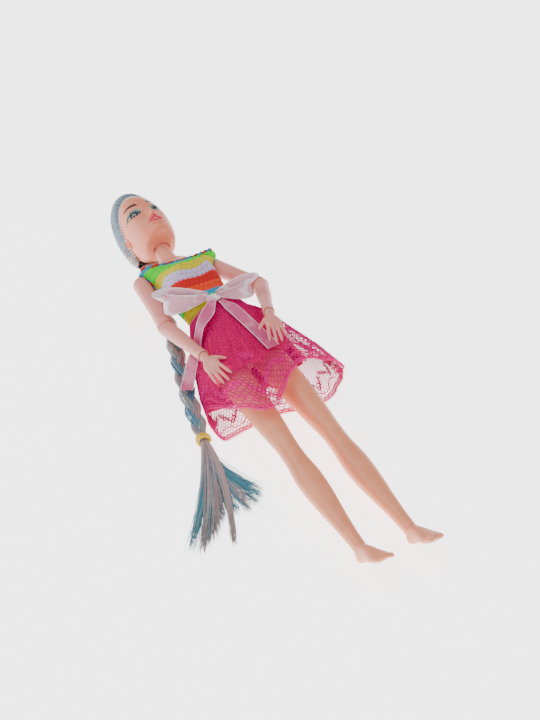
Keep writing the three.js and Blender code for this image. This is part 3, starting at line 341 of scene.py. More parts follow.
def skin(points, wrap=True, ends=True):
    """Vertices and faces over a grid of points, wrapped round its columns, with a pole at each end."""
    rows, columns = points.shape[:2]
    vertices = points.reshape(-1, 3)
    i, j = np.meshgrid(np.arange(rows - 1), np.arange(columns if wrap else columns - 1), indexing="ij")
    after = (j + 1) % columns
    low, high = i * columns, (i + 1) * columns
    faces = np.stack([low + j, low + after, high + after, high + j], axis=-1).reshape(-1, 4).tolist()
    if ends:
        last = (rows - 1) * columns
        poles = len(vertices)
        vertices = np.vstack([vertices, points[0].mean(0), points[-1].mean(0)])
        j = np.arange(columns)
        faces += np.stack([np.full(columns, poles), (j + 1) % columns, j], axis=-1).tolist()
        faces += np.stack([np.full(columns, poles + 1), last + j, last + (j + 1) % columns], axis=-1).tolist()
    return vertices, faces


def mesh_of(name, *skins, outwards=True, uv=None, marks=None):
    """A mesh, smooth, of one or more skins in millimetres, with its faces pointing out."""
    vertices = np.vstack([v for v, _ in skins]) * MM
    starts = np.cumsum([0] + [len(v) for v, _ in skins])
    faces = [[start + k for k in face] for start, (_, fs) in zip(starts, skins) for face in fs]
    mesh = bpy.data.meshes.new(name)
    mesh.from_pydata(vertices, [], faces)
    if uv is not None:
        corners = np.zeros(len(mesh.loops), int)
        mesh.loops.foreach_get("vertex_index", corners)
        layer = mesh.uv_layers.new(name="cut")
        layer.data.foreach_set("uv", uv[corners].astype(np.float32).ravel())
    for mark, values in (marks or {}).items():
        kind = "FLOAT" if values.ndim == 1 else "FLOAT_COLOR"
        layer = mesh.attributes.new(mark, kind, "POINT")
        if kind == "FLOAT":
            layer.data.foreach_set("value", values.astype(np.float32))
        else:
            filled = np.concatenate([values, np.ones((len(values), 1))], axis=1)
            layer.data.foreach_set("color", filled.astype(np.float32).ravel())
    mesh.polygons.foreach_set("use_smooth", np.ones(len(mesh.polygons), bool))
    if outwards:
        work = bmesh.new()
        work.from_mesh(mesh)
        bmesh.ops.recalc_face_normals(work, faces=work.faces)
        work.to_mesh(mesh)
        work.free()
    return mesh


def limb_points(ball, length, shares, rows, columns, end, socket, place):
    """A limb down the y axis: a round ball above, oval rings that follow the shares, a square rim and a
    cup at the end that the next ball sits in."""
    crown = np.linspace(0.02, 1, 12, endpoint=False)
    high = ball * np.cos(crown * math.pi / 2)
    shrink = np.sin(crown * math.pi / 2)
    down = np.linspace(0, end, rows)
    wide = between(shares, down)
    heights = np.concatenate([high, -down * length])
    sizes = np.vstack([np.outer(shrink, np.ones(3)), wide[:, 1:4]]) * ball
    across = np.arange(columns) / columns * 2 * math.pi
    c, s = np.cos(across)[None], np.sin(across)[None]
    depth = np.where(s > 0, sizes[:, 1:2], sizes[:, 2:3])
    points = stacked(c * sizes[:, :1], heights[:, None], s * depth)
    if socket:
        inward = np.array([0.985, 0.9, 0.7, 0.45, 0.15])[:, None]
        radius = inward * min(sizes[-1, 0], socket * 0.97)
        cup = stacked(c * radius, -length + np.sqrt(socket**2 - radius**2), s * radius)
        rim = stacked(c * sizes[-1, 0] * 0.97, np.full((1, 1), -end * length - 0.05), s * sizes[-1, 0] * 0.97)
        points = np.vstack([points, rim, cup])
    return moved(points, place)


def outline(angle, power):
    """A unit outline: round at power 2, squarer above it."""
    c, s = np.cos(angle), np.sin(angle)
    return np.sign(c) * np.abs(c) ** (2 / power), np.sign(s) * np.abs(s) ** (2 / power)


PALM_LENGTH = 11.6
PALM_HALF_WIDTH = 4.1
PALM_HALF_DEPTH = 1.75
FINGER = 12.0
FINGER_RADIUS = 0.98
THUMB = 8.6
THUMB_TURN = 42
THUMB_CURL = 24
FINGER_GRID = (22, 14)
PALM_GRID = (18, 28)
BALL_GRID = (12, 18)
# index finger first: share of the length, place across the palm, the knuckle's share of it, turn and curl
FINGERS = ((0.9, -0.7, 0.9, -10, 16), (1, -0.22, 0.95, -3, 20), (0.95, 0.25, 0.93, 2, 22),
           (0.76, 0.7, 0.86, 8, 22))
PALM_SHARES = np.array([
    [0, 0.42, 0.9], [0.25, 0.55, 0.95], [0.55, 0.95, 1], [0.85, 1, 0.85], [1, 0.84, 0.55],
])


def finger(length, radius, x, y, across, curl):
    """A finger down the y axis that curls to the palm, thicker at its two joints and round at its tip."""
    u, v = grid(*FINGER_GRID)
    bend = np.radians(curl) * u
    joints = 1 + 0.07 * np.exp(-(((u - 0.38) / 0.09) ** 2)) + 0.05 * np.exp(-(((u - 0.7) / 0.08) ** 2))
    thick = radius * (1 - 0.26 * u) * joints * np.sqrt(np.clip(1 - u**9, 0.01, 1))
    c, s = outline(2 * math.pi * v, 2)
    along = u * length
    points = stacked(c * thick, -along * np.cos(bend / 2), s * thick * 0.92 - along * np.sin(bend / 2))
    return skin(moved(points, shift(x, y, 0) @ turn("z", across)))


def hand_skins(side, lean, place):
    """The hand's overlapping forms, turned to lie as the hand does: palm, four fingers, thumb and ball."""
    u, v = grid(*PALM_GRID)
    widths = between(PALM_SHARES, u)
    c, s = outline(2 * math.pi * v, 2.3)
    palm = stacked(c * widths[..., 1] * PALM_HALF_WIDTH, -u * PALM_LENGTH, s * widths[..., 2] * PALM_HALF_DEPTH)
    pad = stacked(c * 1.5, -2.2 - 4.6 * u, s * 1.25 - 0.5) + stacked(-side * (1.5 + 1.2 * u), 0 * u, 0 * u)
    pad[..., 0] = (pad[..., 0] + side * (1.5 + 1.2 * u)) * np.sin(math.pi * u) ** 0.5 - side * (1.5 + 1.2 * u)
    forms = [skin(palm), skin(pad)]
    for length, across, along, aside, curl in FINGERS:
        forms.append(finger(length * FINGER, FINGER_RADIUS, side * across * PALM_HALF_WIDTH,
                            -along * PALM_LENGTH + FINGER_RADIUS, side * aside, curl))
    forms.append(finger(THUMB, FINGER_RADIUS * 1.12, -side * PALM_HALF_WIDTH * 0.5, -PALM_LENGTH * 0.3,
                        -side * THUMB_TURN, THUMB_CURL))
    leaning = turn("z", side * lean)
    forms = [(moved(points, place @ leaning), faces) for points, faces in forms]
    down, across = grid(*BALL_GRID)
    polar, around = down * math.pi, across * 2 * math.pi
    ball = stacked(np.sin(polar) * np.cos(around), np.cos(polar), np.sin(polar) * np.sin(around))
    return forms + [skin(moved((WRIST_BALL + SNUG) * ball, place))]


def paint_inner(side, *names):
    """Pegs and pins keep the mesh they have, in the plain inner plastic."""
    for name in names:
        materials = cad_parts[f"{name}_{side}"].data.materials
        materials.clear()
        materials.append(inner_plastic)


def fused(piece, voxel, passes):
    """Overlapping forms made one skin, then eased so that they flow into each other."""
    remesh = piece.modifiers.new("one skin", "REMESH")
    remesh.mode = "VOXEL"
    remesh.voxel_size = voxel * MM
    remesh.use_smooth_shade = True
    ease = piece.modifiers.new("eased", "SMOOTH")
    ease.factor = 0.5
    ease.iterations = passes
    return piece


HAND_VOXEL = 0.24
HAND_EASING = 5
for name, (side, raised, out, swivel, bend, wrist_turn, flex, lean) in ARM_POSES.items():
    shoulder = shift(side * SHOULDER[0], *SHOULDER[1:]) @ turn("x", -raised)
    arm = shoulder @ turn("z", side * out)
    upper = limb_points(SHOULDER_BALL, UPPER_ARM, UPPER_ARM_SHARES, *UPPER_ARM_GRID,
                        1 - ELBOW_RIM_DEPTH / UPPER_ARM, ELBOW_BALL + SOCKET_GAP, arm)
    elbow = arm @ shift(0, -UPPER_ARM, 0) @ turn("y", swivel) @ turn("x", -bend)
    lower = limb_points(ELBOW_BALL + SNUG, FOREARM, FOREARM_SHARES, *FOREARM_GRID,
                        1 - WRIST_RIM_DEPTH / FOREARM, WRIST_BALL + SOCKET_GAP, elbow)
    wrist = elbow @ shift(0, -FOREARM, 0) @ turn("y", wrist_turn) @ turn("x", flex)
    for part, skins in (("upper_arm", [skin(upper)]), ("forearm", [skin(lower)]),
                        ("hand", hand_skins(side, lean, wrist))):
        node = f"{part}_{name}"
        piece = dressed(f"{node}_moulding", mesh_of(node, *skins), node, arm_plastic, "limb_plastic", node)
    fused(piece, HAND_VOXEL, HAND_EASING)
    paint_inner(name, "shoulder_peg", "shoulder_pin", "elbow_peg", "elbow_pin", "wrist_peg", "wrist_pin")

# The legs are one moulding each from the hip ball to the toes, of softer and tanner vinyl than the arms.
# The feet are arched for high heels, with five small toes.
LEG_COLOUR = (0.84, 0.29, 0.15)
HIP = (10.8, 12.0, 14.4)
HIP_BALL = 7.8
LEG = 139.0
FOOT = 26.4
FOOT_HALF_WIDTH = 4.7
FOOT_RISE = 43
HEEL_DROP = 4.4
TOE = 2.6
TOE_RADIUS = 1.0
LEG_VOXEL = 0.42
LEG_EASING = 6
LEG_GRID = (110, 56)
FOOT_GRID = (26, 30)
TOE_GRID = (12, 14)
TOES = 5
# each leg: side, then degrees of swing and spread
LEG_POSES = {"right": (-1, 3.4, 0.6), "left": (1, 3.4, 0.9)}
LEG_SHARES = np.array([
    [0, 1, 1, 1, 0], [0.08, 1.04, 1.02, 1.04, 0.02], [0.16, 1.04, 1, 1, 0.05], [0.25, 0.99, 0.95, 0.9, 0.08],
    [0.34, 0.91, 0.88, 0.78, 0.12], [0.43, 0.79, 0.77, 0.7, 0.14], [0.514, 0.67, 0.68, 0.6, 0.14],
    [0.58, 0.67, 0.62, 0.72, 0.12], [0.67, 0.8, 0.66, 0.9, 0.08], [0.76, 0.75, 0.6, 0.78, 0.04],
    [0.86, 0.58, 0.51, 0.56, 0], [0.95, 0.44, 0.46, 0.44, 0], [1.02, 0.38, 0.5, 0.44, 0],
])
FOOT_SHARES = np.array([
    [0.03, 0.4, 0.5, 0.38], [0.1, 0.62, 0.9, 0.6], [0.24, 0.68, 1.2, 0.52], [0.42, 0.74, 1.08, 0.34],
    [0.6, 0.88, 0.78, 0.4], [0.76, 1, 0.52, 0.48], [0.88, 0.96, 0.34, 0.34], [0.95, 0.86, 0.24, 0.24],
])


def leg_skins(side, place):
    """The leg's forms: oval rings from the hip ball down to the ankle, the arched foot, and the toes."""
    down, around = grid(*LEG_GRID)
    crown = np.linspace(0.02, 1, 14, endpoint=False)
    wide = between(LEG_SHARES, down[:, 0] * 1.02)
    c, s = np.cos(around[:1] * 2 * math.pi), np.sin(around[:1] * 2 * math.pi)
    depth = np.where(s > 0, wide[:, 2:3], wide[:, 3:4])
    knee = 0.05 * np.exp(-(((down[:, :1] - 0.5) / 0.025) ** 2)) * np.clip(s, 0, 1) * np.exp(-((c / 0.6) ** 2))
    rings = HIP_BALL * stacked(c * wide[:, 1:2], -down[:, :1] * 1.02 * LEG / HIP_BALL,
                               s * depth + wide[:, 4:5] + knee)
    tops = crown[:, None] * math.pi / 2
    top = HIP_BALL * stacked(c * np.sin(tops), np.cos(tops), s * np.sin(tops))
    u, v = grid(*FOOT_GRID)
    share = 0.03 + 0.92 * u
    widths = between(FOOT_SHARES, share)
    c, s = outline(2 * math.pi * v, 2.2)
    sole = stacked(c * widths[..., 1] * FOOT_HALF_WIDTH, -share * FOOT,
                   s * np.where(s > 0, widths[..., 2], widths[..., 3]) * FOOT_HALF_WIDTH)
    foot = (shift(0, -LEG - HEEL_DROP * 0.78, -HEEL_DROP * 0.62) @ turn("x", -FOOT_RISE)
            @ shift(0, FOOT * 0.13, 0))
    forms = [skin(np.vstack([top, rings])), skin(moved(sole, foot))]
    polar, around = grid(*TOE_GRID)
    for i in range(TOES):
        size = 1.3 if i == 0 else 1 - 0.06 * i
        toe = stacked(np.sin(polar * math.pi) * np.cos(around * 2 * math.pi) * TOE_RADIUS * size,
                      np.cos(polar * math.pi) * TOE * size,
                      np.sin(polar * math.pi) * np.sin(around * 2 * math.pi) * TOE_RADIUS * size * 0.95)
        at = shift(-side * (0.7 - 0.36 * i) * FOOT_HALF_WIDTH, -FOOT * (0.94 - 0.009 * i * i), 0)
        forms.append(skin(moved(toe, foot @ at)))
    return [(moved(points, place), faces) for points, faces in forms]


leg_vinyl = plastic("leg_vinyl", LEG_COLOUR, 0.08, 0.45)
for name, (side, swing, spread) in LEG_POSES.items():
    hip = shift(side * HIP[0], *HIP[1:]) @ turn("x", swing) @ turn("z", side * spread)
    node = f"leg_{name}"
    piece = dressed(f"{node}_moulding", mesh_of(node, *leg_skins(side, hip)), node, leg_vinyl, "vinyl", node)
    fused(piece, LEG_VOXEL, LEG_EASING)
    paint_inner(name, "hip_peg", "hip_pin")

# The head is a soft vinyl shell pushed onto the knob, with a moulded face and ears. Its brows, eyes, lashes
# and lips are printed in paint; the eyes have painted highlights, and painted shade makes the skin darker and
# redder under the chin.
KNOB = (0.0, 113.008, 22.116)
FACE_COLOUR = (0.80, 0.225, 0.12)
# the colour of the painted shade under the chin
CHIN_SHADE = (0.66, 0.135, 0.06)
HEAD_HALF_WIDTH = 11.8
HEAD_HALF_DEPTH = 16.6
HEAD_HEIGHT = 46.5
HEAD_DROP = 8.0
NECK_RADIUS = 4.65
NECK_LEAN = 9.5
HEAD_ROWS = 150
HEAD_COLUMNS = 168
NECK_HOLE_ROWS = 5
EAR_GRID = (22, 36)
EAR_LENGTH = 3.5
EAR_TURN = 10
HEAD_SHARES = np.array([
    [0, 0.415, 0.215, 0.375, 0], [0.02, 0.62, 0.52, 0.42, 0.03], [0.045, 0.74, 0.76, 0.48, 0.1],
    [0.11, 0.84, 0.88, 0.6, 0.11], [0.2, 0.92, 0.92, 0.78, 0.08], [0.34, 0.98, 0.91, 1.02, 0.03],
    [0.5, 1, 0.9, 1.16, 0], [0.68, 0.96, 0.87, 1.11, 0], [0.83, 0.82, 0.74, 0.95, 0],
    [0.94, 0.56, 0.5, 0.66, 0], [0.99, 0.23, 0.21, 0.28, 0],
])
# the middle of the mouth, and how far the face leans to the doll's left
MOUTH = (0.2, -0.6)
FACE_ROLL = math.radians(1.0)
EYE_HALF_SPACING = 7.1
EYE_RISE = 12.4
EYE_LEAN = math.radians(30.0)
BROW_RISE = 6.4
BLUSH = (0.62, 0.24, 0.20)
TEAL = ((0.04, 0.22, 0.20), (0.16, 0.40, 0.36))
EYE_WHITE = (0.60, 0.62, 0.64)
IRIS = (0.012, 0.02, 0.028)
# painted highlights in the eye: across, up, radius
EYE_HIGHLIGHTS = ((0.35, 0.45, 0.34), (-0.75, -0.15, 0.26), (0.9, -0.3, 0.2))
# the colour of the painted highlights in the eyes
LIGHT = (0.95, 0.95, 0.95)
LASH = (0.012, 0.016, 0.018)
LOWER_LASH = (0.02, 0.035, 0.04)
BROW = (0.02, 0.004, 0.006)
UPPER_LIP = (0.62, 0.004, 0.03)
LOWER_LIP = (0.66, 0.02, 0.085)
TEETH = (0.80, 0.55, 0.60)
# moulded relief: across, up from the mouth, spread across, spread up, height; mirrored where off centre
RELIEF = (
    (0, 4.1, 1.7, 2.1, 2.9), (1.7, 3.4, 1.0, 1.0, 0.75), (0, 8.6, 1.5, 4.4, 1.5), (3.6, 16.6, 4.2, 2.4, 0.5),
    (6.6, 12.6, 3.6, 2.6, -1.2), (6.6, 12.5, 2.7, 1.6, 0.6), (9.0, 11.5, 3.0, 7.0, 1.7),
    (7.0, 4.8, 3.6, 3.6, 0.5), (0, 1.1, 3.3, 0.85, 1.1), (0, -1.15, 2.8, 0.95, 1.25),
    (0, -0.1, 3.5, 0.3, -0.45), (0, -3.3, 3.0, 1.0, -0.45), (0, -6.6, 3.4, 2.6, 1.1),
)


def face_relief(x, y):
    """The sum of round swellings and hollows over the face, in its own leaning frame."""
    p, q = rolled(x - MOUTH[0], y - MOUTH[1], FACE_ROLL)
    total = np.zeros_like(p)
    for across, up, wide, tall, height in RELIEF:
        for side in (-1, 1) if across else (1,):
            total += height * np.exp(-(((p - side * across) / wide) ** 2) - ((q - up) / tall) ** 2)
    return total


def head_point(share, angle):
    """A point of the head: squarish rings up its axis, deeper behind, with the face's relief in front."""
    row = between(HEAD_SHARES, share)
    c, s = outline(angle, 2.15)
    z = s * (np.where(s > 0, row[..., 2], row[..., 3]) * HEAD_HALF_DEPTH)
    x = c * (row[..., 1] * HEAD_HALF_WIDTH)
    y = share * HEAD_HEIGHT - HEAD_DROP - row[..., 4] * np.clip(z, 0, None) * 2
    return stacked(x, y, z + face_relief(x, y) * np.clip(s, 0, 1) ** 0.5) + np.array(KNOB)


def head_skin():
    """The head from the crown down to the chin, then over a rolled edge and up into the neck hole."""
    down, around = grid(HEAD_ROWS, HEAD_COLUMNS)
    share = 0.99 * (1 - np.cos(math.pi * (1 - down))) / 2
    points = head_point(share, around * 2 * math.pi)
    hole, around = grid(NECK_HOLE_ROWS, HEAD_COLUMNS)
    radius = NECK_RADIUS + 0.14
    low = points[-1]
    rim = stacked(radius * np.cos(around * 2 * math.pi), 5 * hole - HEAD_DROP - 0.2,
                  radius * np.sin(around * 2 * math.pi))
    rim = rim @ turn("x", NECK_LEAN)[:3, :3].T + np.array(KNOB)
    blend = np.clip(hole * 5, 0, 1)[..., None]
    inner = low[None] * (1 - blend) + rim * blend
    return skin(np.vstack([points, inner[1:]]))


def ear_skin(side):
    """An ear: a flat shell with a rolled rim, a hollow inside the rim, and a lobe."""
    down, around = grid(*EAR_GRID)
    polar, angle = down * math.pi, around * 2 * math.pi
    radius = np.sin(polar)
    rim = 0.30 * np.exp(-(((radius - 0.82) / 0.14) ** 2)) - 0.25 * np.exp(-((radius / 0.5) ** 2))
    face = np.where(np.cos(polar) > 0, 1, 0)
    x = np.cos(polar) * 0.42 + face * rim * 0.9
    y = radius * np.cos(angle) * (1.0 - 0.12 * np.cos(angle))
    z = radius * np.sin(angle) * 0.62
    points = stacked(side * x * EAR_LENGTH, y * EAR_LENGTH, z * EAR_LENGTH)
    place = np.array(KNOB) + [side * HEAD_HALF_WIDTH * 0.93, HEAD_HEIGHT * 0.22, -HEAD_HALF_DEPTH * 0.22]
    return skin(moved(points, shift(*place) @ turn("y", -side * EAR_TURN)))


def face_paint():
    """Vinyl skin with its print: blush, teal lids, black lashes, dark eyes, brows and red lips; with painted
    highlights in the eyes and painted shade under the chin.
    """
    finish = waxy("face_vinyl")
    x, y, z = finish.place()
    p, q = rolled(x - (KNOB[0] + MOUTH[0]), y - (KNOB[1] + MOUTH[1]), FACE_ROLL)
    front = z.between(24, 27)
    tone = finish.mix(finish.noise(0.12, 4.0).between(0.3, 0.7), darker(FACE_COLOUR, 0.95), FACE_COLOUR)
    # painted shade: the skin darker and redder under the chin
    under = (-q).between(5.0, 12.5) * z.between(14, 30)
    cheek = ((abs(p) - 7.6).squared() + (q - 3.6).squared()) * 0.03
    # an eye, in a frame that leans with it: its lids are two bows
    a, b = rolled(abs(p) - EYE_HALF_SPACING, q - EYE_RISE, EYE_LEAN)
    bow = 1 - (a * (1 / 3.6)).squared()
    top = bow * 1.5 - 0.15
    low = bow * -1.25 - 0.1
    reach = a.squared() * 0.04 + (b - 1.9).squared() * 0.11
    shadow = (1 - reach.between(0.25, 1.0)) * b.between(-0.6, 0.6)
    teal = finish.mix(finish.noise(2.4, 2.0, p, q * 0.35).between(0.4, 0.6), *TEAL)
    inside = (top - b).between(-0.05, 0.1) * (b - low).between(-0.05, 0.1) * (3.0 - abs(a)).between(0, 0.2)
    iris_gap = ((a + 0.1).squared() + (b - 0.05).squared()) ** 0.5
    layers = [(shadow * 0.85, teal), (inside, EYE_WHITE), ((2.5 - iris_gap).between(0, 0.18) * inside, IRIS)]
    # painted highlights: pale round spots over each eye
    for across, up, size in EYE_HIGHLIGHTS:
        spot = ((a - across).squared() + (b - up).squared()) ** 0.5
        layers.append(((size + 0.08 - spot).between(0, 0.12), LIGHT))
    # lashes: a heavy line over the eye that breaks into spikes, and a thin one below
    spikes = (a * 4.6 + b * 1.2).sine() * 0.5 + 0.5
    lash_top = top + 1.3 + spikes * 1.1 + (a - 1.5).most(0.0) * 0.14
    lash = (b - top + 0.25).between(0, 0.12) * (lash_top - b).between(0, 0.25)
    lower_lash = (low + 0.2 - b).between(0, 0.1) * (b - low + 0.5 + spikes * 0.4).between(0, 0.15)
    layers += [(lash * (4.3 - abs(a - 0.3)).between(0, 0.4), LASH),
               (lower_lash * (3.7 - abs(a)).between(0, 0.4) * 0.85, LOWER_LASH)]
    # a brow: an arch, thinner outwards
    along = (abs(p) - 2.7) * (1 / 6.8)
    middle = q - (EYE_RISE + BROW_RISE) - (along * 6.0 - along.squared() * 3.5)
    brow = (1.6 - along * 0.95 - abs(middle)).between(-0.06, 0.1)
    layers.append((brow * along.between(-0.03, 0.02) * (1 - along).between(-0.02, 0.04), BROW))
    # lips: an upper one with a bow in it, a fuller and pinker lower one, and a glint of teeth between
    m = (p * (1 / 4.7)).squared()
    upper_top = (1 - m) * 2.8 - (1 - abs(p).between(0, 1.1)) * 0.5 - m * 0.7
    line = (1 - m) * 0.3 - m * 0.7
    lower_low = (1 - m) * -2.2 - m * 0.8
    upper = (upper_top - q).between(-0.05, 0.12) * (q - line).between(-0.05, 0.1)
    lower = (line - q).between(-0.05, 0.1) * (q - lower_low).between(-0.05, 0.12)
    teeth = (line + 0.05 - q).between(0, 0.1) * (q - line + 0.22).between(0, 0.12)
    layers += [(upper, UPPER_LIP), (lower, LOWER_LIP), (teeth * (1.3 - abs(p)).between(0, 0.5), TEETH)]
    # painted shade under the chin, then the blush
    tone = finish.mix(under * 0.9, tone, CHIN_SHADE)
    tone = finish.mix((1 - cheek.between(0.0, 1.0)) * front * 0.3, tone, BLUSH)
    for cover, colour in layers:
        tone = finish.mix(cover * front, tone, colour)
    gloss = upper.most(lower).most(inside) * front
    return finish.use(tone, 0.46 - gloss * 0.2, height=finish.noise(2.5, 2.0), strength=0.06,
                      distance=0.05 * MM)


face_vinyl = face_paint()
dressed("head_moulding", mesh_of("head", head_skin(), ear_skin(-1), ear_skin(1)), "head", face_vinyl, "vinyl",
        "head_shell")

# The hair is rooted in plugs along the hairline, combed straight back over the head and gathered at the nape.
# It is blue-grey on top and pinker and browner towards the nape, with short ends that stand off at the side.
DOME = (12.9, 27.6, 20.8)
DOME_FRONT = 16.0
DOME_CENTRE = (0.0, 15.4, -1.8)
HAIRLINE_TOP = (33.5, 10.4)
HAIRLINE_SLOPE = 36.0
NAPE = (-2.2, -1.6, -16.4)
HAIR_FLOOR = 0.4
BLUE_GREY = (0.24, 0.33, 0.42)
PINK_GREY = (0.42, 0.34, 0.345)
BROWN = (0.44, 0.28, 0.20)
PALE = (0.60, 0.55, 0.56)


def strands(paths, thick, sides=3, reference=(0.31, 0.23, 0.92)):
    """Fibres swept along paths[fibre, step]: rings of the radius thick[fibre, step], square to the path, and
    closed at both ends."""
    count, steps = paths.shape[:2]
    along = np.gradient(paths, axis=1)
    along /= np.linalg.norm(along, axis=-1, keepdims=True) + 1e-9
    side = np.cross(along, np.array(reference))
    side /= np.linalg.norm(side, axis=-1, keepdims=True) + 1e-9
    up = np.cross(side, along)
    thick = np.broadcast_to(thick, (count, steps))
    angle = np.arange(sides) * 2 * math.pi / sides
    points = (paths[:, :, None] + thick[:, :, None, None]
              * (side[:, :, None] * np.cos(angle)[:, None] + up[:, :, None] * np.sin(angle)[:, None]))
    start = (np.arange(count) * steps * sides)[:, None, None]
    i, j = np.meshgrid(np.arange(steps - 1), np.arange(sides), indexing="ij")
    after = (j + 1) % sides
    quads = np.stack([i * sides + j, i * sides + after, (i + 1) * sides + after, (i + 1) * sides + j], axis=-1)
    quads = (quads.reshape(1, -1, 4) + start).reshape(-1, 4).tolist()
    caps = np.vstack([np.arange(sides)[::-1], (steps - 1) * sides + np.arange(sides)])
    caps = (caps[None] + start).reshape(-1, sides).tolist()
    return points.reshape(-1, 3), quads + caps


def tapered(count, steps, radius, root=0.25, tip=0.12):
    """A fibre's radius from a drawn-in root, through its full thickness, to a fine tip."""
    u = np.linspace(0, 1, steps)
    shape = np.minimum(1, root + (1 - root) * u / 0.12) * np.minimum(1, tip + (1 - tip) * (1 - u) / 0.3)
    return np.asarray(radius).reshape(-1, 1) * shape[None] * np.ones((count, 1))


def bundle(paths, thick, dye, sides=3):
    """Fibres and the colours of their points, from one colour for each fibre or for each of its steps."""
    if dye.ndim == 2:
        dye = np.repeat(dye[:, None], paths.shape[1], axis=1)
    return strands(paths, thick, sides), np.repeat(dye[:, :, None], sides, axis=2).reshape(-1, 3)


def fibrous(name, body, material, slot, node, *bundles):
    """A piece made of bundles, each a skin and the colours of its points."""
    mesh = mesh_of(name, *[part for part, _ in bundles], marks={"dye": np.vstack([dye for _, dye in bundles])})
    return dressed(name, mesh, body, material, slot, *node)


def hair_finish(name):
    """Nylon hair: each fibre's own dye, finer streaks along it, and a soft sheen."""
    finish = Finish(name, Anisotropic=0.4)
    x, y, z = finish.place()
    streak = finish.noise(2.2, 3.0, x * 1.7, y * 0.5, z * 1.7)
    shade = finish.mix(streak.between(0.3, 0.7) * 0.35, finish.attribute("dye", "Color"), (0.10, 0.09, 0.10))
    return finish.use(shade, 0.42 + 0.2 * (streak - 0.5))


def on_dome(direction, lift=0.0):
    """A point on the hair's dome in a direction from its centre, an ellipsoid that is shallower in front."""
    deep = np.where(direction[..., 2] > 0, DOME_FRONT, DOME[2])
    reach = stacked(direction[..., 0] * (DOME[0] + lift), direction[..., 1] * (DOME[1] + lift),
                    direction[..., 2] * (deep + lift))
    return reach + np.array(DOME_CENTRE) + np.array(KNOB)


def unit(v):
    """Vectors, each divided by its own length."""
    return v / np.linalg.norm(v, axis=-1, keepdims=True)


def hairline(turned):
    """The direction of the hairline at an angle round the face, measured from the top: where the dome meets a
    plane that slopes back from the forehead, found by halving."""
    slope = math.radians(HAIRLINE_SLOPE)
    face = unit(np.array([0.0, -0.35, 0.94]))
    up = unit(np.array([0.0, 1.0, 0.0]) - face * face[1])
    aside = np.array([1.0, 0.0, 0.0])
    pole = np.cos(turned)[:, None] * up + np.sin(turned)[:, None] * aside
    low, high = np.full(len(turned), 0.2), np.full(len(turned), 2.4)
    for _ in range(30):
        mid = (low + high) / 2
        at = on_dome(np.cos(mid)[:, None] * face + np.sin(mid)[:, None] * pole) - np.array(KNOB)
        ahead, over = at[:, 1] - HAIRLINE_TOP[0], at[:, 2] - HAIRLINE_TOP[1]
        before = -math.sin(slope) * ahead + math.cos(slope) * over > 0
        low, high = np.where(before, mid, low), np.where(before, high, mid)
    return np.cos(mid)[:, None] * face + np.sin(mid)[:, None] * pole, mid, face, pole


def combed(turned, steps, spread, random):
    """Paths over the dome from the hairline, square to it at first, and round to the nape."""
    start, opening, face, pole = hairline(turned)
    back = np.cos(opening + 1.05)[:, None] * face + np.sin(opening + 1.05)[:, None] * pole
    nape = unit((np.array(NAPE) - np.array(DOME_CENTRE)) / np.array(DOME))
    end = unit(nape + random.normal(0, spread, (len(turned), 3)) * np.array([1, 0.5, 0.3]))
    t = np.linspace(0, 1, steps)[None, :, None]
    path = (1 - t) ** 2 * start[:, None] + 2 * t * (1 - t) * 1.25 * back[:, None] + t**2 * end[:, None]
    return unit(path)


def hair_dye(points, random, count):
    """Blue-grey towards the crown, pink-grey lower down and brown at the nape, a little different in each
    fibre."""
    height = (points[..., 1] - KNOB[1])[..., None]
    depth = (points[..., 2] - KNOB[2])[..., None]
    low = np.clip((20 - height) / 12, 0, 1) * np.clip((6 - depth) / 10, 0, 1)
    lower = np.clip((6 - height) / 9, 0, 1)
    colour = np.array(BLUE_GREY) * (1 - low) + np.array(PINK_GREY) * low
    colour = colour * (1 - lower) + np.array(BROWN) * lower
    return np.clip(colour * (0.75 + 0.55 * random.random((count, 1, 1))), 0, 1)


def above_floor(points, least=HAIR_FLOOR):
    """The points, none of them lower than the least height."""
    points[..., 2] = np.maximum(points[..., 2], least)
    return points


def volume(turned, steps):
    """How far the hair stands off the dome: it starts on the skin and rises soon, most at the crown."""
    along, top = np.linspace(0, 1, steps)[None], np.clip(np.cos(turned), 0, 1)[:, None]
    return np.sin(along**0.62 * math.pi) * (1.2 + 2.2 * top**1.5) - 1.1 * (1 - top) * np.exp(-along / 0.07)


hair_fibre = hair_finish("hair_fibre")
random = np.random.default_rng(7)
HAIR_STEPS = 26
HAIR_COUNT = 760
HAIR_RADIUS = 0.3
ROOT_SPAN = math.radians(128)
turned = np.sort(random.uniform(-ROOT_SPAN, ROOT_SPAN, HAIR_COUNT))
directions = combed(turned, HAIR_STEPS, 0.06, random)
lift = random.uniform(-0.35, 0.25, HAIR_COUNT)[:, None] + volume(turned, HAIR_STEPS)
hair_paths = above_floor(on_dome(directions) + unit(directions) * lift[..., None], HAIR_RADIUS + 0.1)
hair = bundle(hair_paths, tapered(HAIR_COUNT, HAIR_STEPS, HAIR_RADIUS, 0.6, 0.4),
              hair_dye(hair_paths, random, HAIR_COUNT))

# under the fibres lies a thin skin of hair, with painted shade on its outside and painted light on its inside
CAP_COLUMNS = 90
CAP_STEPS = 40
CAP_PAINTED_SHADING = (0.55, 1.6)
cap_turned = np.linspace(-ROOT_SPAN, ROOT_SPAN, CAP_COLUMNS)
cap_directions = combed(cap_turned, CAP_STEPS, 0.0, random)
cap_out = unit(cap_directions) * volume(cap_turned, CAP_STEPS)[..., None]
cap_paths = above_floor(on_dome(cap_directions, -0.35) + cap_out)
cap_inner = above_floor(on_dome(cap_directions, -0.9)[::-1], 2 * HAIR_FLOOR)
cap_ring = np.concatenate([cap_paths, cap_inner], axis=0).transpose(1, 0, 2)
for end in (0, -1):
    cap_ring[end, CAP_COLUMNS:] = cap_ring[end, CAP_COLUMNS - 1::-1]
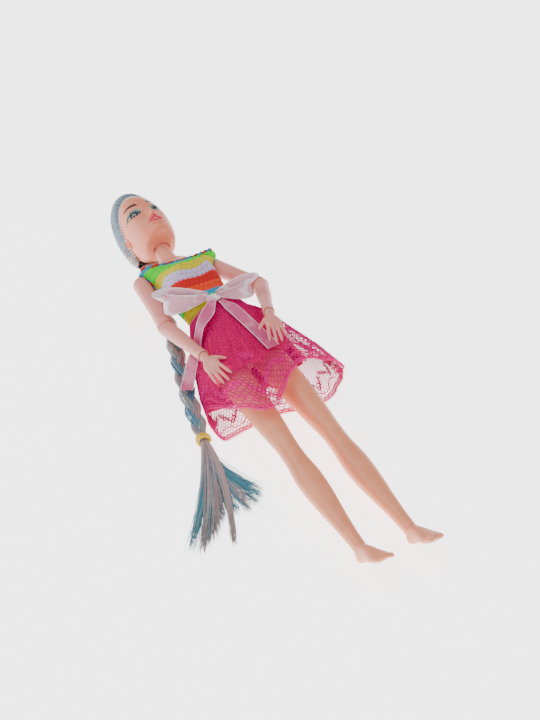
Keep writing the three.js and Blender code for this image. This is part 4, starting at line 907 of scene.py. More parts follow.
# painted shade and light: the outer side of the skin darkened, the inner side lightened
cap_colours = hair_dye(cap_ring, random, CAP_STEPS) * np.repeat(CAP_PAINTED_SHADING, CAP_COLUMNS)[None, :, None]
fibrous("hair_combed_back", "head", hair_fibre, "hair_fibre", ["hair_cap"], hair,
        (skin(cap_ring, ends=False), np.clip(cap_colours, 0, 1).reshape(-1, 3)))

# rooted plugs along the hairline, and short ends that stand off the sides and nape
PLUG_COUNT = 58
PLUG_SIDES = 6
PLUG_COLOUR = 0.95
PLUG_RADII = np.array([0.1, 0.42, 0.52, 0.42, 0.14])[None]
plug_steps = np.array([-0.55, -0.3, 0.1, 0.5, 0.9])
plug_turned = np.linspace(-ROOT_SPAN * 0.92, ROOT_SPAN * 0.92, PLUG_COUNT)
plug_directions = combed(plug_turned, len(plug_steps), 0.0, random)
plug_rise = volume(plug_turned, len(plug_steps))[:, :1]
plug_start = on_dome(plug_directions[:, 0], 0.25) + plug_directions[:, 0] * plug_rise
plug_way = unit(on_dome(plug_directions[:, 1]) - on_dome(plug_directions[:, 0]))
plug_paths = above_floor(plug_start[:, None] + plug_way[:, None] * plug_steps[None, :, None])
STRAY_COUNT = 320
STRAY_STEPS = 8
STRAY_RADIUS = 0.22
PALE_SHARE = 0.45
stray_turned = random.uniform(math.radians(20), ROOT_SPAN, STRAY_COUNT) * random.choice([-1, 1], STRAY_COUNT)
stray_all = combed(stray_turned, 20, 0.05, random)
stray_from = random.integers(1, 13, STRAY_COUNT)
each = np.arange(STRAY_COUNT)
stray_lift = volume(stray_turned, 20)[each, stray_from][:, None]
stray_at = stray_all[each, stray_from]
stray_root = on_dome(stray_at, 0.2) + stray_at * stray_lift
stray_way = unit(on_dome(stray_all[each, stray_from + 3]) + stray_lift * 0.6 - stray_root)
reach = random.uniform(1.6, 3.6, STRAY_COUNT)[:, None, None]
t = np.linspace(0, 1, STRAY_STEPS)[None, :, None]
stand_off = unit(stray_at)[:, None] * reach * (0.5 + 0.35 * random.random((STRAY_COUNT, 1, 1))) * t**1.4
stray_paths = above_floor(stray_root[:, None] + stray_way[:, None] * reach * t + stand_off)
stray_dye = np.where(random.random((STRAY_COUNT, 1)) < PALE_SHARE, np.array([PALE]),
                     hair_dye(stray_paths, random, STRAY_COUNT)[:, 3])
fibrous("hair_plugs_and_ends", "head", hair_fibre, "hair_fibre", [],
        bundle(plug_paths, PLUG_RADII, np.full((PLUG_COUNT, 3), PLUG_COLOUR), PLUG_SIDES),
        bundle(stray_paths, tapered(STRAY_COUNT, STRAY_STEPS, STRAY_RADIUS), stray_dye))

# From the nape the hair runs down into one long braid of three strands, blue, grey and pink, which lies
# along the doll's right side and is tied off with a yellow elastic above a loose tail.
STRAND_RADIUS = 2.2
BRAID_SWAY = 2.4
BRAID_LIFT = 1.0
BRAID_NECK = 1.9
PLAIT_PITCH = 42.0
BRAID_ROUTE = np.array([
    [-6.8, 102.5, 4.6], [-10, 92, 4.1], [-12.5, 79, 3.8], [-15.5, 64, 3.8], [-19.5, 49, 3.8],
    [-24.6, 31, 3.8], [-30, 12, 3.8], [-34, -4, 3.8], [-37.4, -19, 4], [-40, -29.8, 4.7],
])
TEAL_HAIR = (0.09, 0.29, 0.40)
GREY_HAIR = (0.38, 0.355, 0.335)
PINK_HAIR = (0.52, 0.33, 0.34)
NAVY_HAIR = (0.035, 0.13, 0.24)


def smooth_route(points, count):
    """Points evenly along a smooth curve through the route's points."""
    knots = np.concatenate([[0], np.cumsum(np.linalg.norm(np.diff(points, axis=0), axis=1))])
    table = np.column_stack([knots / knots[-1], points])
    fine = between(table, np.linspace(0, 1, count * 8))[:, 1:]
    run = np.concatenate([[0], np.cumsum(np.linalg.norm(np.diff(fine, axis=0), axis=1))])
    even = np.linspace(0, run[-1], count)
    return np.stack([np.interp(even, run, fine[:, k]) for k in range(3)], axis=-1), run[-1]


def braid_strand(k, fibres, steps, random):
    """The fibres of one braided strand: its middle sways by a sine from side to side, and by one of twice the
    rate over and under the other two."""
    centre, length = smooth_route(BRAID_ROUTE, steps)
    u = np.linspace(0, 1, steps)
    gather = np.minimum(1, 0.1 + (1 - u) * 9)
    thick = BRAID_NECK + (STRAND_RADIUS - BRAID_NECK) * gather
    along = unit(np.gradient(centre, axis=0))
    side = unit(np.cross(np.array([0, 0, 1.0]), along))
    up = np.array([0, 0, 1.0])
    phase = 2 * math.pi * (u * length / PLAIT_PITCH + k / 3)
    middle = (centre + side * (BRAID_SWAY * gather * np.sin(phase))[:, None]
              - up * (BRAID_LIFT * gather * np.sin(2 * phase))[:, None])
    forward = unit(np.gradient(middle, axis=0))
    aside = unit(np.cross(up, forward))
    over = np.cross(forward, aside)
    angle = (np.arange(fibres) / fibres * 2 * math.pi + random.normal(0, 0.08, fibres))[:, None]
    angle = angle + 0.35 * np.sin(u * length / 9.0 + k)[None]
    out = (thick * 0.86)[None] * (1 + random.normal(0, 0.025, (fibres, 1)))
    out = out * (1 - 0.10 * np.abs(np.sin(phase))[None])
    round_it = aside[None] * np.cos(angle)[..., None] + over[None] * np.sin(angle)[..., None]
    return middle[None] + round_it * out[..., None]


BRAID_FIBRES = 30
BRAID_STEPS = 150
BRAID_FIBRE_RADIUS = 0.27
ODD_FIBRES = 0.16
braid = []
for k, (base, odd) in enumerate(((TEAL_HAIR, NAVY_HAIR), (GREY_HAIR, TEAL_HAIR), (PINK_HAIR, NAVY_HAIR))):
    paths = braid_strand(k, BRAID_FIBRES, BRAID_STEPS, random)
    shade = np.array(base) * (0.72 + 0.5 * random.random((BRAID_FIBRES, 1, 1)))
    dye = np.where(random.random((BRAID_FIBRES, 1, 1)) < ODD_FIBRES, np.array(odd), shade)
    braid.append(bundle(paths, BRAID_FIBRE_RADIUS, np.clip(dye[:, 0], 0, 1), 4))
fibrous("braid_of_hair", "torso", hair_fibre, "hair_fibre", ["braid"], *braid)

# between the nape and the braid the hair is one loose gather: share, middle x, y and z, half width and depth
NAPE_STATIONS = np.array([[0, -4.0, 112.0, 7.4, 6.8, 3.4], [0.35, -5.2, 108.6, 8.0, 5.4, 4.2],
                          [0.7, -6.2, 105.4, 6.6, 3.8, 3.6], [1, -6.9, 102.2, 4.6, 2.8, 2.6]])
NAPE_FIBRES = 150
NAPE_STEPS = 18
NAPE_FIBRE_RADIUS = 0.3
NAPE_BROWN = (0.62, 0.40, 0.28)
nape_t = np.linspace(0, 1, NAPE_STEPS)
nape_line = between(NAPE_STATIONS, nape_t)
nape_angle = random.random((NAPE_FIBRES, 1)) * 2 * math.pi + 0.8 * nape_t[None]
nape_out = np.sqrt(random.random((NAPE_FIBRES, 1))) * 0.25 + 0.72
nape_paths = nape_line[None, :, 1:4] + stacked(np.cos(nape_angle) * nape_line[:, 4] * nape_out, 0 * nape_angle,
                                               np.sin(nape_angle) * nape_line[:, 5] * nape_out)
pick = random.random((NAPE_FIBRES, 1))
nape_dye = np.where(pick < 0.6, [NAPE_BROWN], np.where(pick < 0.8, [GREY_HAIR], [TEAL_HAIR]))
nape_dye = nape_dye * (0.8 + 0.4 * random.random((NAPE_FIBRES, 1)))
nape = fibrous("nape_hair", None, hair_fibre, "hair_fibre", ["nape_gather"],
               bundle(nape_paths, NAPE_FIBRE_RADIUS, nape_dye, 4))
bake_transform(nape)

# The elastic that ties the braid is a round rubber band covered in yellow thread. It is wound twice round the
# three strands, just above the loose ends.
ELASTIC_RADIUS = 0.7
ELASTIC_PITCH = 1.95
ELASTIC_TURNS = 2
WINDING_STEPS = 120
BRAID_END_STEPS = 200
ELASTIC_COLOUR = (0.86, 0.55, 0.0)
SEAT = 0.32


def braid_end():
    """The frame where the braid ends: across it, along it towards the nape, and up."""
    centre, _ = smooth_route(BRAID_ROUTE, BRAID_END_STEPS)
    along = unit(centre[-2] - centre[-1])
    side = unit(np.cross(along, np.array([0, 0, 1.0])))
    return centre[-1], side, along, np.cross(side, along)


end_at, end_side, end_along, end_up = braid_end()
winding = np.linspace(0, 1, WINDING_STEPS)
wind = 2 * math.pi * ELASTIC_TURNS * winding
around = BRAID_NECK + BRAID_LIFT * 0.15 + SEAT + ELASTIC_RADIUS
elastic_path = (end_at + np.outer(np.cos(wind) * around, end_side) + np.outer(np.sin(wind) * around, end_up)
                + np.outer(ELASTIC_PITCH * (ELASTIC_TURNS * winding - ELASTIC_TURNS / 2), end_along))
elastic_thick = ELASTIC_RADIUS * np.minimum(1, np.minimum(winding, 1 - winding) / 0.01 + 0.3)
elastic = Finish("elastic_thread", Sheen_Weight=0.2)
worn = elastic.noise(1.1, 3.0)
elastic.use(elastic.mix(worn.between(0.3, 0.7), darker(ELASTIC_COLOUR, 0.8), ELASTIC_COLOUR), 0.62 + 0.1 * worn,
            height=elastic.twist(5.2, 3.1, 6.0), strength=0.35, distance=0.1 * MM)
band = strands(elastic_path[None], elastic_thick[None], 14, tuple(end_along))
dressed("elastic_band", mesh_of("elastic", band), "torso", elastic.material, "elastic_rubber", "hair_elastic")

# Below the elastic the hair falls loose and fans out flat: grey and pink in the middle, with turquoise
# locks at both edges, a few navy fibres, and pale ends of uneven length.
# each lock: tip x, y, z, bow to the side, fibres, width at the tip, share of turquoise
LOCKS = (
    (-73, -88, 2.2, -3, 70, 3.2, 0.9), (-68, -91, 2.4, -2, 120, 4.4, 0.25),
    (-62, -86, 2.4, -1, 130, 4.6, 0.08), (-58.5, -82, 2.3, 0, 90, 4.0, 0.12),
    (-52, -78, 2.3, -1, 70, 3.4, 0.6), (-47, -78, 2.4, -1, 80, 3.2, 0.85),
    (-56.5, -95.5, 1.6, 6, 60, 2.0, 0.0), (-40, -78, 2.2, -2, 90, 3.8, 0.55),
    (-34, -75, 2.1, -3, 70, 3.2, 0.8), (-31, -70, 2.0, -4, 60, 2.8, 0.7), (-70, -93, 1.6, -2, 36, 1.6, 0.0),
)
TURQUOISE = (0.045, 0.35, 0.47)
TAIL_GREY = (0.45, 0.36, 0.335)
TAIL_PINK = (0.50, 0.365, 0.38)
TAIL_STEPS = 20
TAIL_RADIUS = 0.2
TAIL_FLOOR = 0.45
PINK_SHARE = 0.45
NAVY_SHARE = 0.035
tail = []
for *tip, bow, fibres, wide, turquoise in LOCKS:
    reach = np.linalg.norm(tip - end_at)
    spread = random.normal(0, 1, (fibres, 1))
    lift = random.random((fibres, 1))
    root = end_at - end_along * 0.5 + (end_side * np.cos(6.28 * lift) + end_up * np.sin(6.28 * lift)) * 1.5
    leave = root - end_along * reach * 0.4 + np.array([bow, 0, -0.6]) + spread * np.array([0.9, 0.5, 0])
    end = tip + spread * np.array([wide * 0.5, 0.25 * wide, 0])
    end = end + random.normal(0, 1, (fibres, 1)) * np.array([0.4, 2.0, 0])
    end[:, 2] = 0.5 + 1.9 * lift[:, 0]
    t = np.linspace(0, 1, TAIL_STEPS)[None, :, None]
    path = (1 - t) ** 2 * root[:, None] + 2 * t * (1 - t) * leave[:, None] + t**2 * end[:, None]
    path = path + np.array([0, 0, 1.0]) * np.sin(math.pi * t) * 0.7 * (lift[:, None] - 0.3)
    base = np.where(random.random((fibres, 1)) < PINK_SHARE, [TAIL_PINK], [TAIL_GREY])
    low = np.where(random.random((fibres, 1)) < turquoise, [TURQUOISE], base * 1.05)
    navy = random.random((fibres, 1)) < NAVY_SHARE
    begin = np.clip((t - 0.22) / 0.4, 0, 1)
    colour = np.where(navy[:, None], NAVY_HAIR, base[:, None] * (1 - begin) + low[:, None] * begin)
    dye = np.clip(colour * (0.78 + 0.44 * random.random((fibres, 1, 1))), 0, 1)
    tail.append(bundle(above_floor(path, TAIL_FLOOR), tapered(fibres, TAIL_STEPS, TAIL_RADIUS, 0.9, 0.3), dye))
fibrous("loose_hair_tail", "torso", hair_fibre, "hair_fibre", ["braid_tail"], *tail)

# The dress's bodice is one machine-knit tube in rainbow rows of small shell stitches, stretched over the chest
# and draped over the shoulders. The neck and armholes are bound with twisted red and blue yarn.
TORSO_FOOT = 4.0
TORSO_LENGTH = 88.0
TORSO_HALF_WIDTH = 17.4
TORSO_HALF_DEPTH = 11.0
TORSO_AXIS = 15.0
BUST_ALONG = 0.735
BUST_ASIDE = 6.6
BUST_SPREAD = 6.0
BUST_HEIGHT = 4.2
TORSO_SHARES = np.array([
    [0, 0.29, 0.34, 0.5, -0.08, 2], [0.025, 0.55, 0.56, 0.78, -0.04, 2], [0.07, 0.82, 0.7, 0.93, 0, 2.1],
    [0.125, 0.97, 0.74, 0.985, 0, 2.2], [0.205, 0.93, 0.76, 0.94, 0.03, 2.2],
    [0.32, 0.78, 0.75, 0.73, 0.12, 2.1], [0.43, 0.7, 0.7, 0.66, 0.2, 2.1],
    [0.545, 0.74, 0.8, 0.72, 0.3, 2.2], [0.66, 0.8, 0.92, 0.8, 0.36, 2.3],
    [0.75, 0.83, 0.96, 0.86, 0.36, 2.4], [0.864, 0.86, 0.84, 0.86, 0.28, 2.6],
    [0.93, 0.9, 0.76, 0.8, 0.26, 2.7], [0.977, 0.8, 0.68, 0.66, 0.28, 2.5],
    [1.006, 0.52, 0.58, 0.5, 0.32, 2.1],
])
BODICE_SEAT = 0.416
BODICE_TOP = 0.995
BODICE_FOOT = 0.34
NECKLINE_DROP = 0.11
NECKLINE_SPREAD = 0.13
SHOULDER_FLARE = 0.36
SLEEVE_REACH = 7.0
SHOULDER_LIFT = 1.6
SHOULDER_DRAPE = 5.82
ARMHOLE = 5.42
ARMHOLE_DEPTH = 13.8
ARMHOLE_BALL = 5.25
ARMHOLE_REACH = {-1: 23.6, 1: 24.67}
KNIT_ROWS = 132
KNIT_COLUMNS = 264
KNIT_THICKNESS = 0.62
WALES = 40
STITCH_RELIEF = 0.22
STITCHES_PER_STRIPE = 2
RIM_EASING = 6
# where each colour of the knit ends, from the waist up: height in front, and its rise at the sides
STRIPES = ((41.0, 1.0), (46.3, 2.0), (48.7, 2.5), (51.4, 3.0), (56.5, 3.1), (60.6, 4.0), (64.7, 7.0),
           (69.5, 9.3), (79.4, 8.0), (92.0, 4.0))
STRIPE_SIDE = 12.5
STRIPE_BLUR = 0.004
LAVENDER = (0.64, 0.50, 0.78)
YELLOW = (0.72, 0.60, 0.0)
GREEN = (0.035, 0.82, 0.0)
KNIT_BLUE = (0.0, 0.33, 0.62)
ORANGE = (0.90, 0.045, 0.0)
KNIT_RED = (0.66, 0.0, 0.002)
STRIPE_COLOURS = (YELLOW, GREEN, KNIT_BLUE, ORANGE, KNIT_RED, LAVENDER, YELLOW, GREEN, KNIT_BLUE)


def from_behind(around):
    """The angle of each place round the body, 0 to 1 from the middle of the back."""
    return around * 2 * math.pi - math.pi / 2


def torso_point(share, angle, proud):
    """The torso's skin: squarish rings up the body, deeper behind, with two round swellings in front."""
    row = between(TORSO_SHARES, share)
    c, s = outline(angle, row[..., 5])
    deep = np.where(s > 0, row[..., 2], row[..., 3]) * TORSO_HALF_DEPTH + proud
    x = c * (row[..., 1] * TORSO_HALF_WIDTH + proud)
    y = TORSO_FOOT + share * TORSO_LENGTH
    above = y - TORSO_FOOT - BUST_ALONG * TORSO_LENGTH
    bust = sum(BUST_HEIGHT * np.exp(-((x - side * BUST_ASIDE) ** 2 + above**2) / (2 * BUST_SPREAD**2))
               for side in (-1, 1))
    z = TORSO_AXIS + row[..., 4] * TORSO_HALF_DEPTH + s * deep + bust * np.clip(s, 0, 1) ** 0.7
    return stacked(x, y, z)


def bodice_point(share, angle):
    """The knit's inner side: the torso's skin let out at the neckline, pulled to the left sleeve and pushed
    out of the shoulder balls."""
    at = torso_point(share, angle, BODICE_SEAT)
    neckline = np.exp(-((np.clip(1 - share, 0, 1) / 0.09) ** 2))
    over = np.exp(-(((share - 0.93) / 0.1) ** 2)) * np.clip(np.sin(angle), 0, 1) ** 0.6
    at[..., 0] *= 1 + SHOULDER_FLARE * neckline
    at[..., 0] += np.clip(at[..., 0], 0, None) / TORSO_HALF_WIDTH * SLEEVE_REACH * over
    at[..., 1] += SHOULDER_LIFT * neckline * np.exp(-(((at[..., 0] / TORSO_HALF_WIDTH - 1) * 2) ** 2))
    for side in (-1, 1):
        centre = np.array([side * SHOULDER[0], *SHOULDER[1:]])
        out = at - centre
        far = np.linalg.norm(out, axis=-1, keepdims=True)
        at = np.where(far < SHOULDER_DRAPE, centre + out / far * SHOULDER_DRAPE, at)
    return at


def proud_of(place, share, angle, distance):
    """The surface place(share, angle) moved out along its normal, which comes from small steps both ways."""
    step = 0.002
    along = place(share + step, angle) - place(share - step, angle)
    around = place(share, angle + step) - place(share, angle - step)
    return place(share, angle) + unit(np.cross(around, along)) * -np.asarray(distance)[..., None]


def walled(piece, thickness, offset=0.0):
    """A sheet given its cloth's thickness, on both sides of its points or, at offset -1, within them."""
    wall = piece.modifiers.new("cloth", "SOLIDIFY")
    wall.thickness = thickness * MM
    wall.offset = offset


def in_armholes(points):
    """Whether each point is in the room cut for an arm: two round bores, a ball, and all beyond the sleeve."""
    inside = np.zeros(len(points), bool)
    for side in (-1, 1):
        out = points - np.array([side * SHOULDER[0], *SHOULDER[1:]])
        for lean in (0, 15):
            at = out @ turn("z", -side * lean)[:3, :3].T
            inside |= (at[:, 1] < 0) & (at[:, 1] > -ARMHOLE_DEPTH) & (np.hypot(at[:, 0], at[:, 2]) < ARMHOLE)
        inside |= np.linalg.norm(out, axis=1) < ARMHOLE_BALL
        inside |= (side * points[:, 0] > ARMHOLE_REACH[side]) & (np.abs(out[:, 1]) < ARMHOLE_DEPTH)
    return inside


def rims(faces):
    """The open edges of a cut mesh, as closed loops of vertex numbers."""
    edges = np.concatenate([np.stack([faces[:, i], faces[:, (i + 1) % 4]], axis=1) for i in range(4)])
    pairs, times = np.unique(np.sort(edges, axis=1), axis=0, return_counts=True)
    nearby = {}
    for a, b in pairs[times == 1].tolist():
        nearby.setdefault(a, []).append(b)
        nearby.setdefault(b, []).append(a)
    loops = []
    while nearby:
        loop = [next(iter(nearby))]
        while True:
            ways = nearby.get(loop[-1])
            if not ways:
                break
            step = ways.pop()
            nearby[step].remove(loop[-1])
            for end in (loop[-1], step):
                if end in nearby and not nearby[end]:
                    del nearby[end]
            if step == loop[0]:
                break
            loop.append(step)
        loops.append(np.array(loop))
    return loops


def eased(loop, passes):
    """A closed run of points, each moved half way to the middle of its neighbours, several times."""
    for _ in range(passes):
        loop = loop / 2 + (np.roll(loop, 1, axis=0) + np.roll(loop, -1, axis=0)) / 4
    return loop


def stripe_rows(points):
    """The knit row at a point, counted in stripes from the waist, on edges that rise towards the sides."""
    aside = np.clip(np.abs(points[..., 0]) / STRIPE_SIDE, 0, 1) ** 2 * np.where(points[..., 0] > 0, 1.5, 1)
    edges = [height + rise * aside for height, rise in STRIPES]
    return sum(np.clip((points[..., 1] - low) / (high - low), 0, 1) for low, high in zip(edges, edges[1:]))


down, around = grid(KNIT_ROWS, KNIT_COLUMNS)
angle = from_behind(around)
front = np.exp(-((np.abs(around - 0.5) / NECKLINE_SPREAD) ** 2))
top = BODICE_TOP - NECKLINE_DROP * front
share = top + (BODICE_FOOT - top) * down
knit_rest = bodice_point(share, angle)
rows = stripe_rows(knit_rest)
stitch = rows * STITCHES_PER_STRIPE
wale = around * WALES
shell = np.abs(np.sin(math.pi * (wale + 0.5 * np.floor(stitch)))) ** 0.7 * np.sin(math.pi * (stitch % 1)) ** 0.6
knit_points = proud_of(bodice_point, share, angle, KNIT_THICKNESS + STITCH_RELIEF * shell)
knit_vertices, knit_faces = skin(knit_points, ends=False)
knit_faces = np.array(knit_faces)
knit_faces = knit_faces[~in_armholes(knit_rest.reshape(-1, 3)[knit_faces].mean(1))]
loops = rims(knit_faces)
for loop in loops:
    knit_vertices[loop] = eased(knit_vertices[loop], RIM_EASING)
used, knit_faces = np.unique(knit_faces, return_inverse=True)

knit = Finish("rainbow_knit", Specular_IOR_Level=0.1)
row_at = knit.attribute("row")
wale_at = knit.attribute("wale")
shell_at = knit.attribute("shell")
scallop = abs((wale_at * math.pi).sine()) * 0.13
stripe_count = len(STRIPE_COLOURS)
stops = [(0.0, STRIPE_COLOURS[0])]
for i in range(1, stripe_count):
    edge = i / stripe_count
    stops += [(edge - STRIPE_BLUR, STRIPE_COLOURS[i - 1]), (edge + STRIPE_BLUR, STRIPE_COLOURS[i])]
bands = knit.ramp((row_at + scallop) * (1 / stripe_count), stops)
yarn = (wale_at * (2 * math.pi * 3) + (row_at * (4 * math.pi)).sine() * 2.2).sine()
fluff = knit.noise(2.6, 4.0)
# painted shade: the hollows between the shell stitches darkened towards black
hollow = (1 - shell_at).between(0.45, 1.0)
shade = knit.mix(hollow * 0.42, bands, (0.02, 0.02, 0.03))
shade = knit.mix(yarn.between(0.1, 0.9) * 0.05, shade, (0.95, 0.92, 0.88))
shade = knit.mix(fluff.between(0.6, 0.35) * 0.22, shade, (0.03, 0.03, 0.03))
knit.use(shade, 0.82 + 0.12 * (fluff - 0.5), height=yarn * 0.5 + fluff, strength=0.7, distance=0.16 * MM)
bodice_mesh = mesh_of("bodice", (knit_vertices[used], knit_faces.reshape(-1, 4).tolist()), outwards=False,
                      marks={"row": rows.reshape(-1)[used], "wale": wale.reshape(-1)[used],
                             "shell": shell.reshape(-1)[used]})
bodice = dressed("knit_bodice", bodice_mesh, "torso", knit.material, "knit", "bodice")
walled(bodice, KNIT_THICKNESS, -1.0)

# The edges of the knit are bound with two strands of yarn, red and blue, twisted round each other: thick at
# the neckline and thin at the armholes.
YARN_TWIST = 7.5
YARN_STEPS = 420
NECK_YARN = 0.62
ARMHOLE_YARN = 0.3
yarns = []
for loop in sorted(loops, key=len)[::-1]:
    ring = eased(knit_vertices[loop], 10)
    if ring[:, 1].mean() < TORSO_FOOT + (BODICE_FOOT + 0.05) * TORSO_LENGTH:
        continue
    at_neck = np.ptp(ring[:, 0]) > 2 * STRIPE_SIDE
    ring = smooth_route(np.vstack([ring, ring[:1]])[:: 3 if at_neck else 2], YARN_STEPS)[0]
    length = np.linalg.norm(np.diff(ring, axis=0), axis=1).sum()
    centre = ring.mean(0)
    along = unit(np.gradient(ring, axis=0))
    outward = unit(ring - centre)
    over = unit(np.cross(along, outward))
    aside = np.cross(over, along)
    in_front = np.exp(-((ring[:, :1] / 9) ** 2)) * (ring[:, 2:] > centre[2]) if at_neck else 0
    thick = np.broadcast_to((NECK_YARN if at_neck else ARMHOLE_YARN) * (1 - 0.45 * in_front), (YARN_STEPS, 1))
    turns = 2 * math.pi * round(length / YARN_TWIST) * np.linspace(0, 1, len(ring))[:, None]
    for k, colour in enumerate((KNIT_RED, KNIT_BLUE)):
        strand = ring + (np.cos(turns + k * math.pi) * over + np.sin(turns + k * math.pi) * aside) * thick * 0.8
        yarns.append(bundle(strand[None], thick[:, 0][None], np.array([colour]), 8))
trim = Finish("trim_yarn", Specular_IOR_Level=0.1)
lint = trim.noise(2.4, 4.0)
trim.use(trim.mix(lint.between(0.65, 0.35) * 0.4, trim.attribute("dye", "Color"), (0.03, 0.03, 0.04)), 0.85,
         height=trim.twist(7.0, 5.0, 6.0) + lint, strength=0.6, distance=0.12 * MM)
fibrous("yarn_bindings", "torso", trim.material, "knit_trim", ["neck_edging"], *yarns)

# The skirt's lining is a short tube of bright magenta cloth with a glitter thread, gathered into fine pleats
# at the waist seam under the bodice.
SKIRT_LENGTH = 72.0
SKIRT_HALF_WIDTH = 40.5
SKIRT_HEIGHT = 23.4
WAIST_ALONG = 42.016
FOLD_DEPTH = 1.1
SKIRT_FOLDS = 12
SEAM_DROP = 6.0
LINING_SHARE = 0.73
LINING_THICKNESS = 0.25
LINING_SLIM = 0.28
LINING_GIRTH = 150
LINING_LIFT = 0.17
LINING_ROWS = 64
PLEATS = 58
PLEAT_DEPTH = 0.6
SKIRT_SHARES = np.array([
    [0, 0.345, 0.345, 1.16, 0.33], [0.1, 0.4, 0.48, 1.15, 0.24], [0.2, 0.46, 0.7, 1.13, 0.16],
    [0.3, 0.49, 0.8, 1.1, 0.165], [0.42, 0.553, 0.88, 1.07, 0.16], [0.6, 0.655, 1, 1.04, 0.165],
    [0.72, 0.7, 1.06, 1.02, 0.13], [0.8, 0.725, 1.09, 1, 0.1], [1, 0.8, 1.13, 0.96, 0.08],
    [1.2, 0.82, 1.15, 0.92, 0.08],
])
DRAPE_SHARES = np.array([
    [-1, 0, 0], [-0.97, 0.26, 0.06], [-0.92, 0.46, 0.17], [-0.86, 0.64, 0.32], [-0.79, 0.79, 0.5],
    [-0.72, 0.9, 0.74], [-0.65, 0.96, 0.9], [-0.55, 1, 0.98], [0.1, 1, 1], [0.4, 0.94, 0.93],
    [0.62, 0.8, 0.76], [0.8, 0.56, 0.5], [0.93, 0.26, 0.22], [1, 0, 0],
])
MAGENTA = (0.94, 0.0, 0.125)
DEEP_MAGENTA = (0.58, 0.0, 0.07)
GLITTER = (0.98, 0.012, 0.27)


def skirt_point(share, angle, slim=0.0):
    """The skirt's form: rings that widen from the waist, domed there, then a tent over the thighs that falls
    away at both sides and lies flat below, with a ripple that grows to the hem."""
    row = between(SKIRT_SHARES, share)
    right, left, top, under = (row[..., k] for k in range(1, 5))
    left = left * (1 - slim * np.clip((share - 0.12) / 0.5, 0, 1))
    c, s = np.cos(angle), np.sin(angle)
    waist = np.clip(0.35 - share, 0, None) / 0.35
    edge = SKIRT_HEIGHT * (0.08 + 0.5 * waist)
    span = (top - under) * SKIRT_HEIGHT - edge
    by = between(DRAPE_SHARES, c)
    drape = by[..., 1] + (by[..., 2] - by[..., 1]) * np.clip((share - 0.4) / 0.35, 0, 1)
    dome = (1 - np.abs(c) ** 2.2) ** 0.6
    height = np.where(s > 0, edge + span * (drape + (dome - drape) * waist), edge * (1 - np.abs(s) ** 0.35))
    ripple = FOLD_DEPTH * np.clip(share * 1.4, None, 1) * np.cos(SKIRT_FOLDS * angle + 5 * share)
    fold = np.where(s > 0, ripple * (0.35 + 0.65 * np.clip(c, 0, 1)), ripple * 0.15)
    return stacked(
        (left - right) / 2 * SKIRT_HALF_WIDTH + c * ((right + left) / 2 * SKIRT_HALF_WIDTH + fold),
        WAIST_ALONG - share * SKIRT_LENGTH - SEAM_DROP * np.clip(-c, 0, 1) * np.clip(1 - share * 3, 0, 1),
        under * SKIRT_HEIGHT + height + np.where(s > 0, fold * s, 0))


def lining_form(share, angle):
    """The skirt's form, drawn in at the doll's left."""
    return skirt_point(share, angle, LINING_SLIM)


down, around = grid(LINING_ROWS, PLEATS * 8)
angle = from_behind(around)
hem = LINING_SHARE - LINING_LIFT * np.clip(np.cos(angle), 0, 1) ** 0.6
share = 0.012 + (hem - 0.012) * down
wander = 0.9 * np.sin(5 * angle + 9 * share) + 0.6 * np.sin(11 * angle - 4 * share) + 0.35 * np.sin(23 * angle)
pleat = 0.5 + 0.5 * np.cos(PLEATS * angle + wander)
broad = 0.5 + 0.5 * np.cos(PLEATS / 2 * angle + 1.7 * wander)
pleat = pleat ** 1.4 * (1 - 0.75 * down**0.7) + broad * (0.2 + 0.35 * down)
pleat = np.clip(pleat, 0, 1)
lining_points = proud_of(lining_form, share, angle, -(LINING_THICKNESS + 0.05 + PLEAT_DEPTH * pleat))
lining = Finish("glitter_cloth", Specular_IOR_Level=0.12)
s_at = lining.attribute("round")
t_at = lining.attribute("down")
fold_at = lining.attribute("fold")
dashes = lining.noise(1.25, 3.0, s_at * 0.55, t_at * 3.4)
threads = (t_at * 8.5 + (s_at * 0.8).sine() * 1.2).sine()
# painted shade: darker in the hollows of the pleats, with a random cloud of darker patches
deep = (1 - fold_at).between(0.25, 1.0) * 0.75 + lining.noise(0.16, 3.0).between(0.6, 0.4) * 0.25
shade = lining.mix(deep, MAGENTA, DEEP_MAGENTA)
# the glitter thread's dashes: a brighter pink of their own, with a painted glint on them
glitter_glint = dashes.between(0.53, 0.68)
shade = lining.mix(glitter_glint * 0.62, shade, GLITTER)
shade = lining.mix(dashes.between(0.47, 0.33) * 0.45, shade, DEEP_MAGENTA)
lining.use(shade, 0.62 - glitter_glint * 0.25, height=threads * 0.4 + dashes, strength=0.5, distance=0.14 * MM)
lining_marks = {"round": around * LINING_GIRTH, "down": down * LINING_SHARE * SKIRT_LENGTH, "fold": pleat}
lining_mesh = mesh_of("lining", skin(lining_points, ends=False), outwards=False,
                      marks={mark: values.reshape(-1) for mark, values in lining_marks.items()})
cloth = dressed("skirt_lining_cloth", lining_mesh, "torso", lining.material, "lining_cloth", "skirt_lining")
walled(cloth, LINING_THICKNESS)

# Over the lining lies a longer skirt of warp-knit lace: a hexagonal net with leaves worked denser into it, and
# a double corded hem with ties between the cords and fine loops beyond them.
LACE_OFFSET = 1.77
LACE_HEM = np.array([
    [0, 0.75], [20, 0.765], [40, 0.83], [60, 0.84], [78, 0.865], [90, 0.95], [101, 1.08], [112, 1.175],
    [122, 1.18], [132, 1.07], [142, 0.93], [155, 0.81], [170, 0.75], [180, 0.78], [192, 0.92], [203, 1],
    [230, 0.97], [262, 0.92], [290, 0.957], [310, 0.92], [330, 0.83], [350, 0.775], [360, 0.75],
])
LACE_FLOOR = 0.45
NET_CELLS = 88
NET_ROWS = 37
NET_ZIGZAG = 0.17
LINK_STEPS = 3
NET_THREAD = 0.25
SPRIG_THREAD = 0.46
SPRIGS = 13
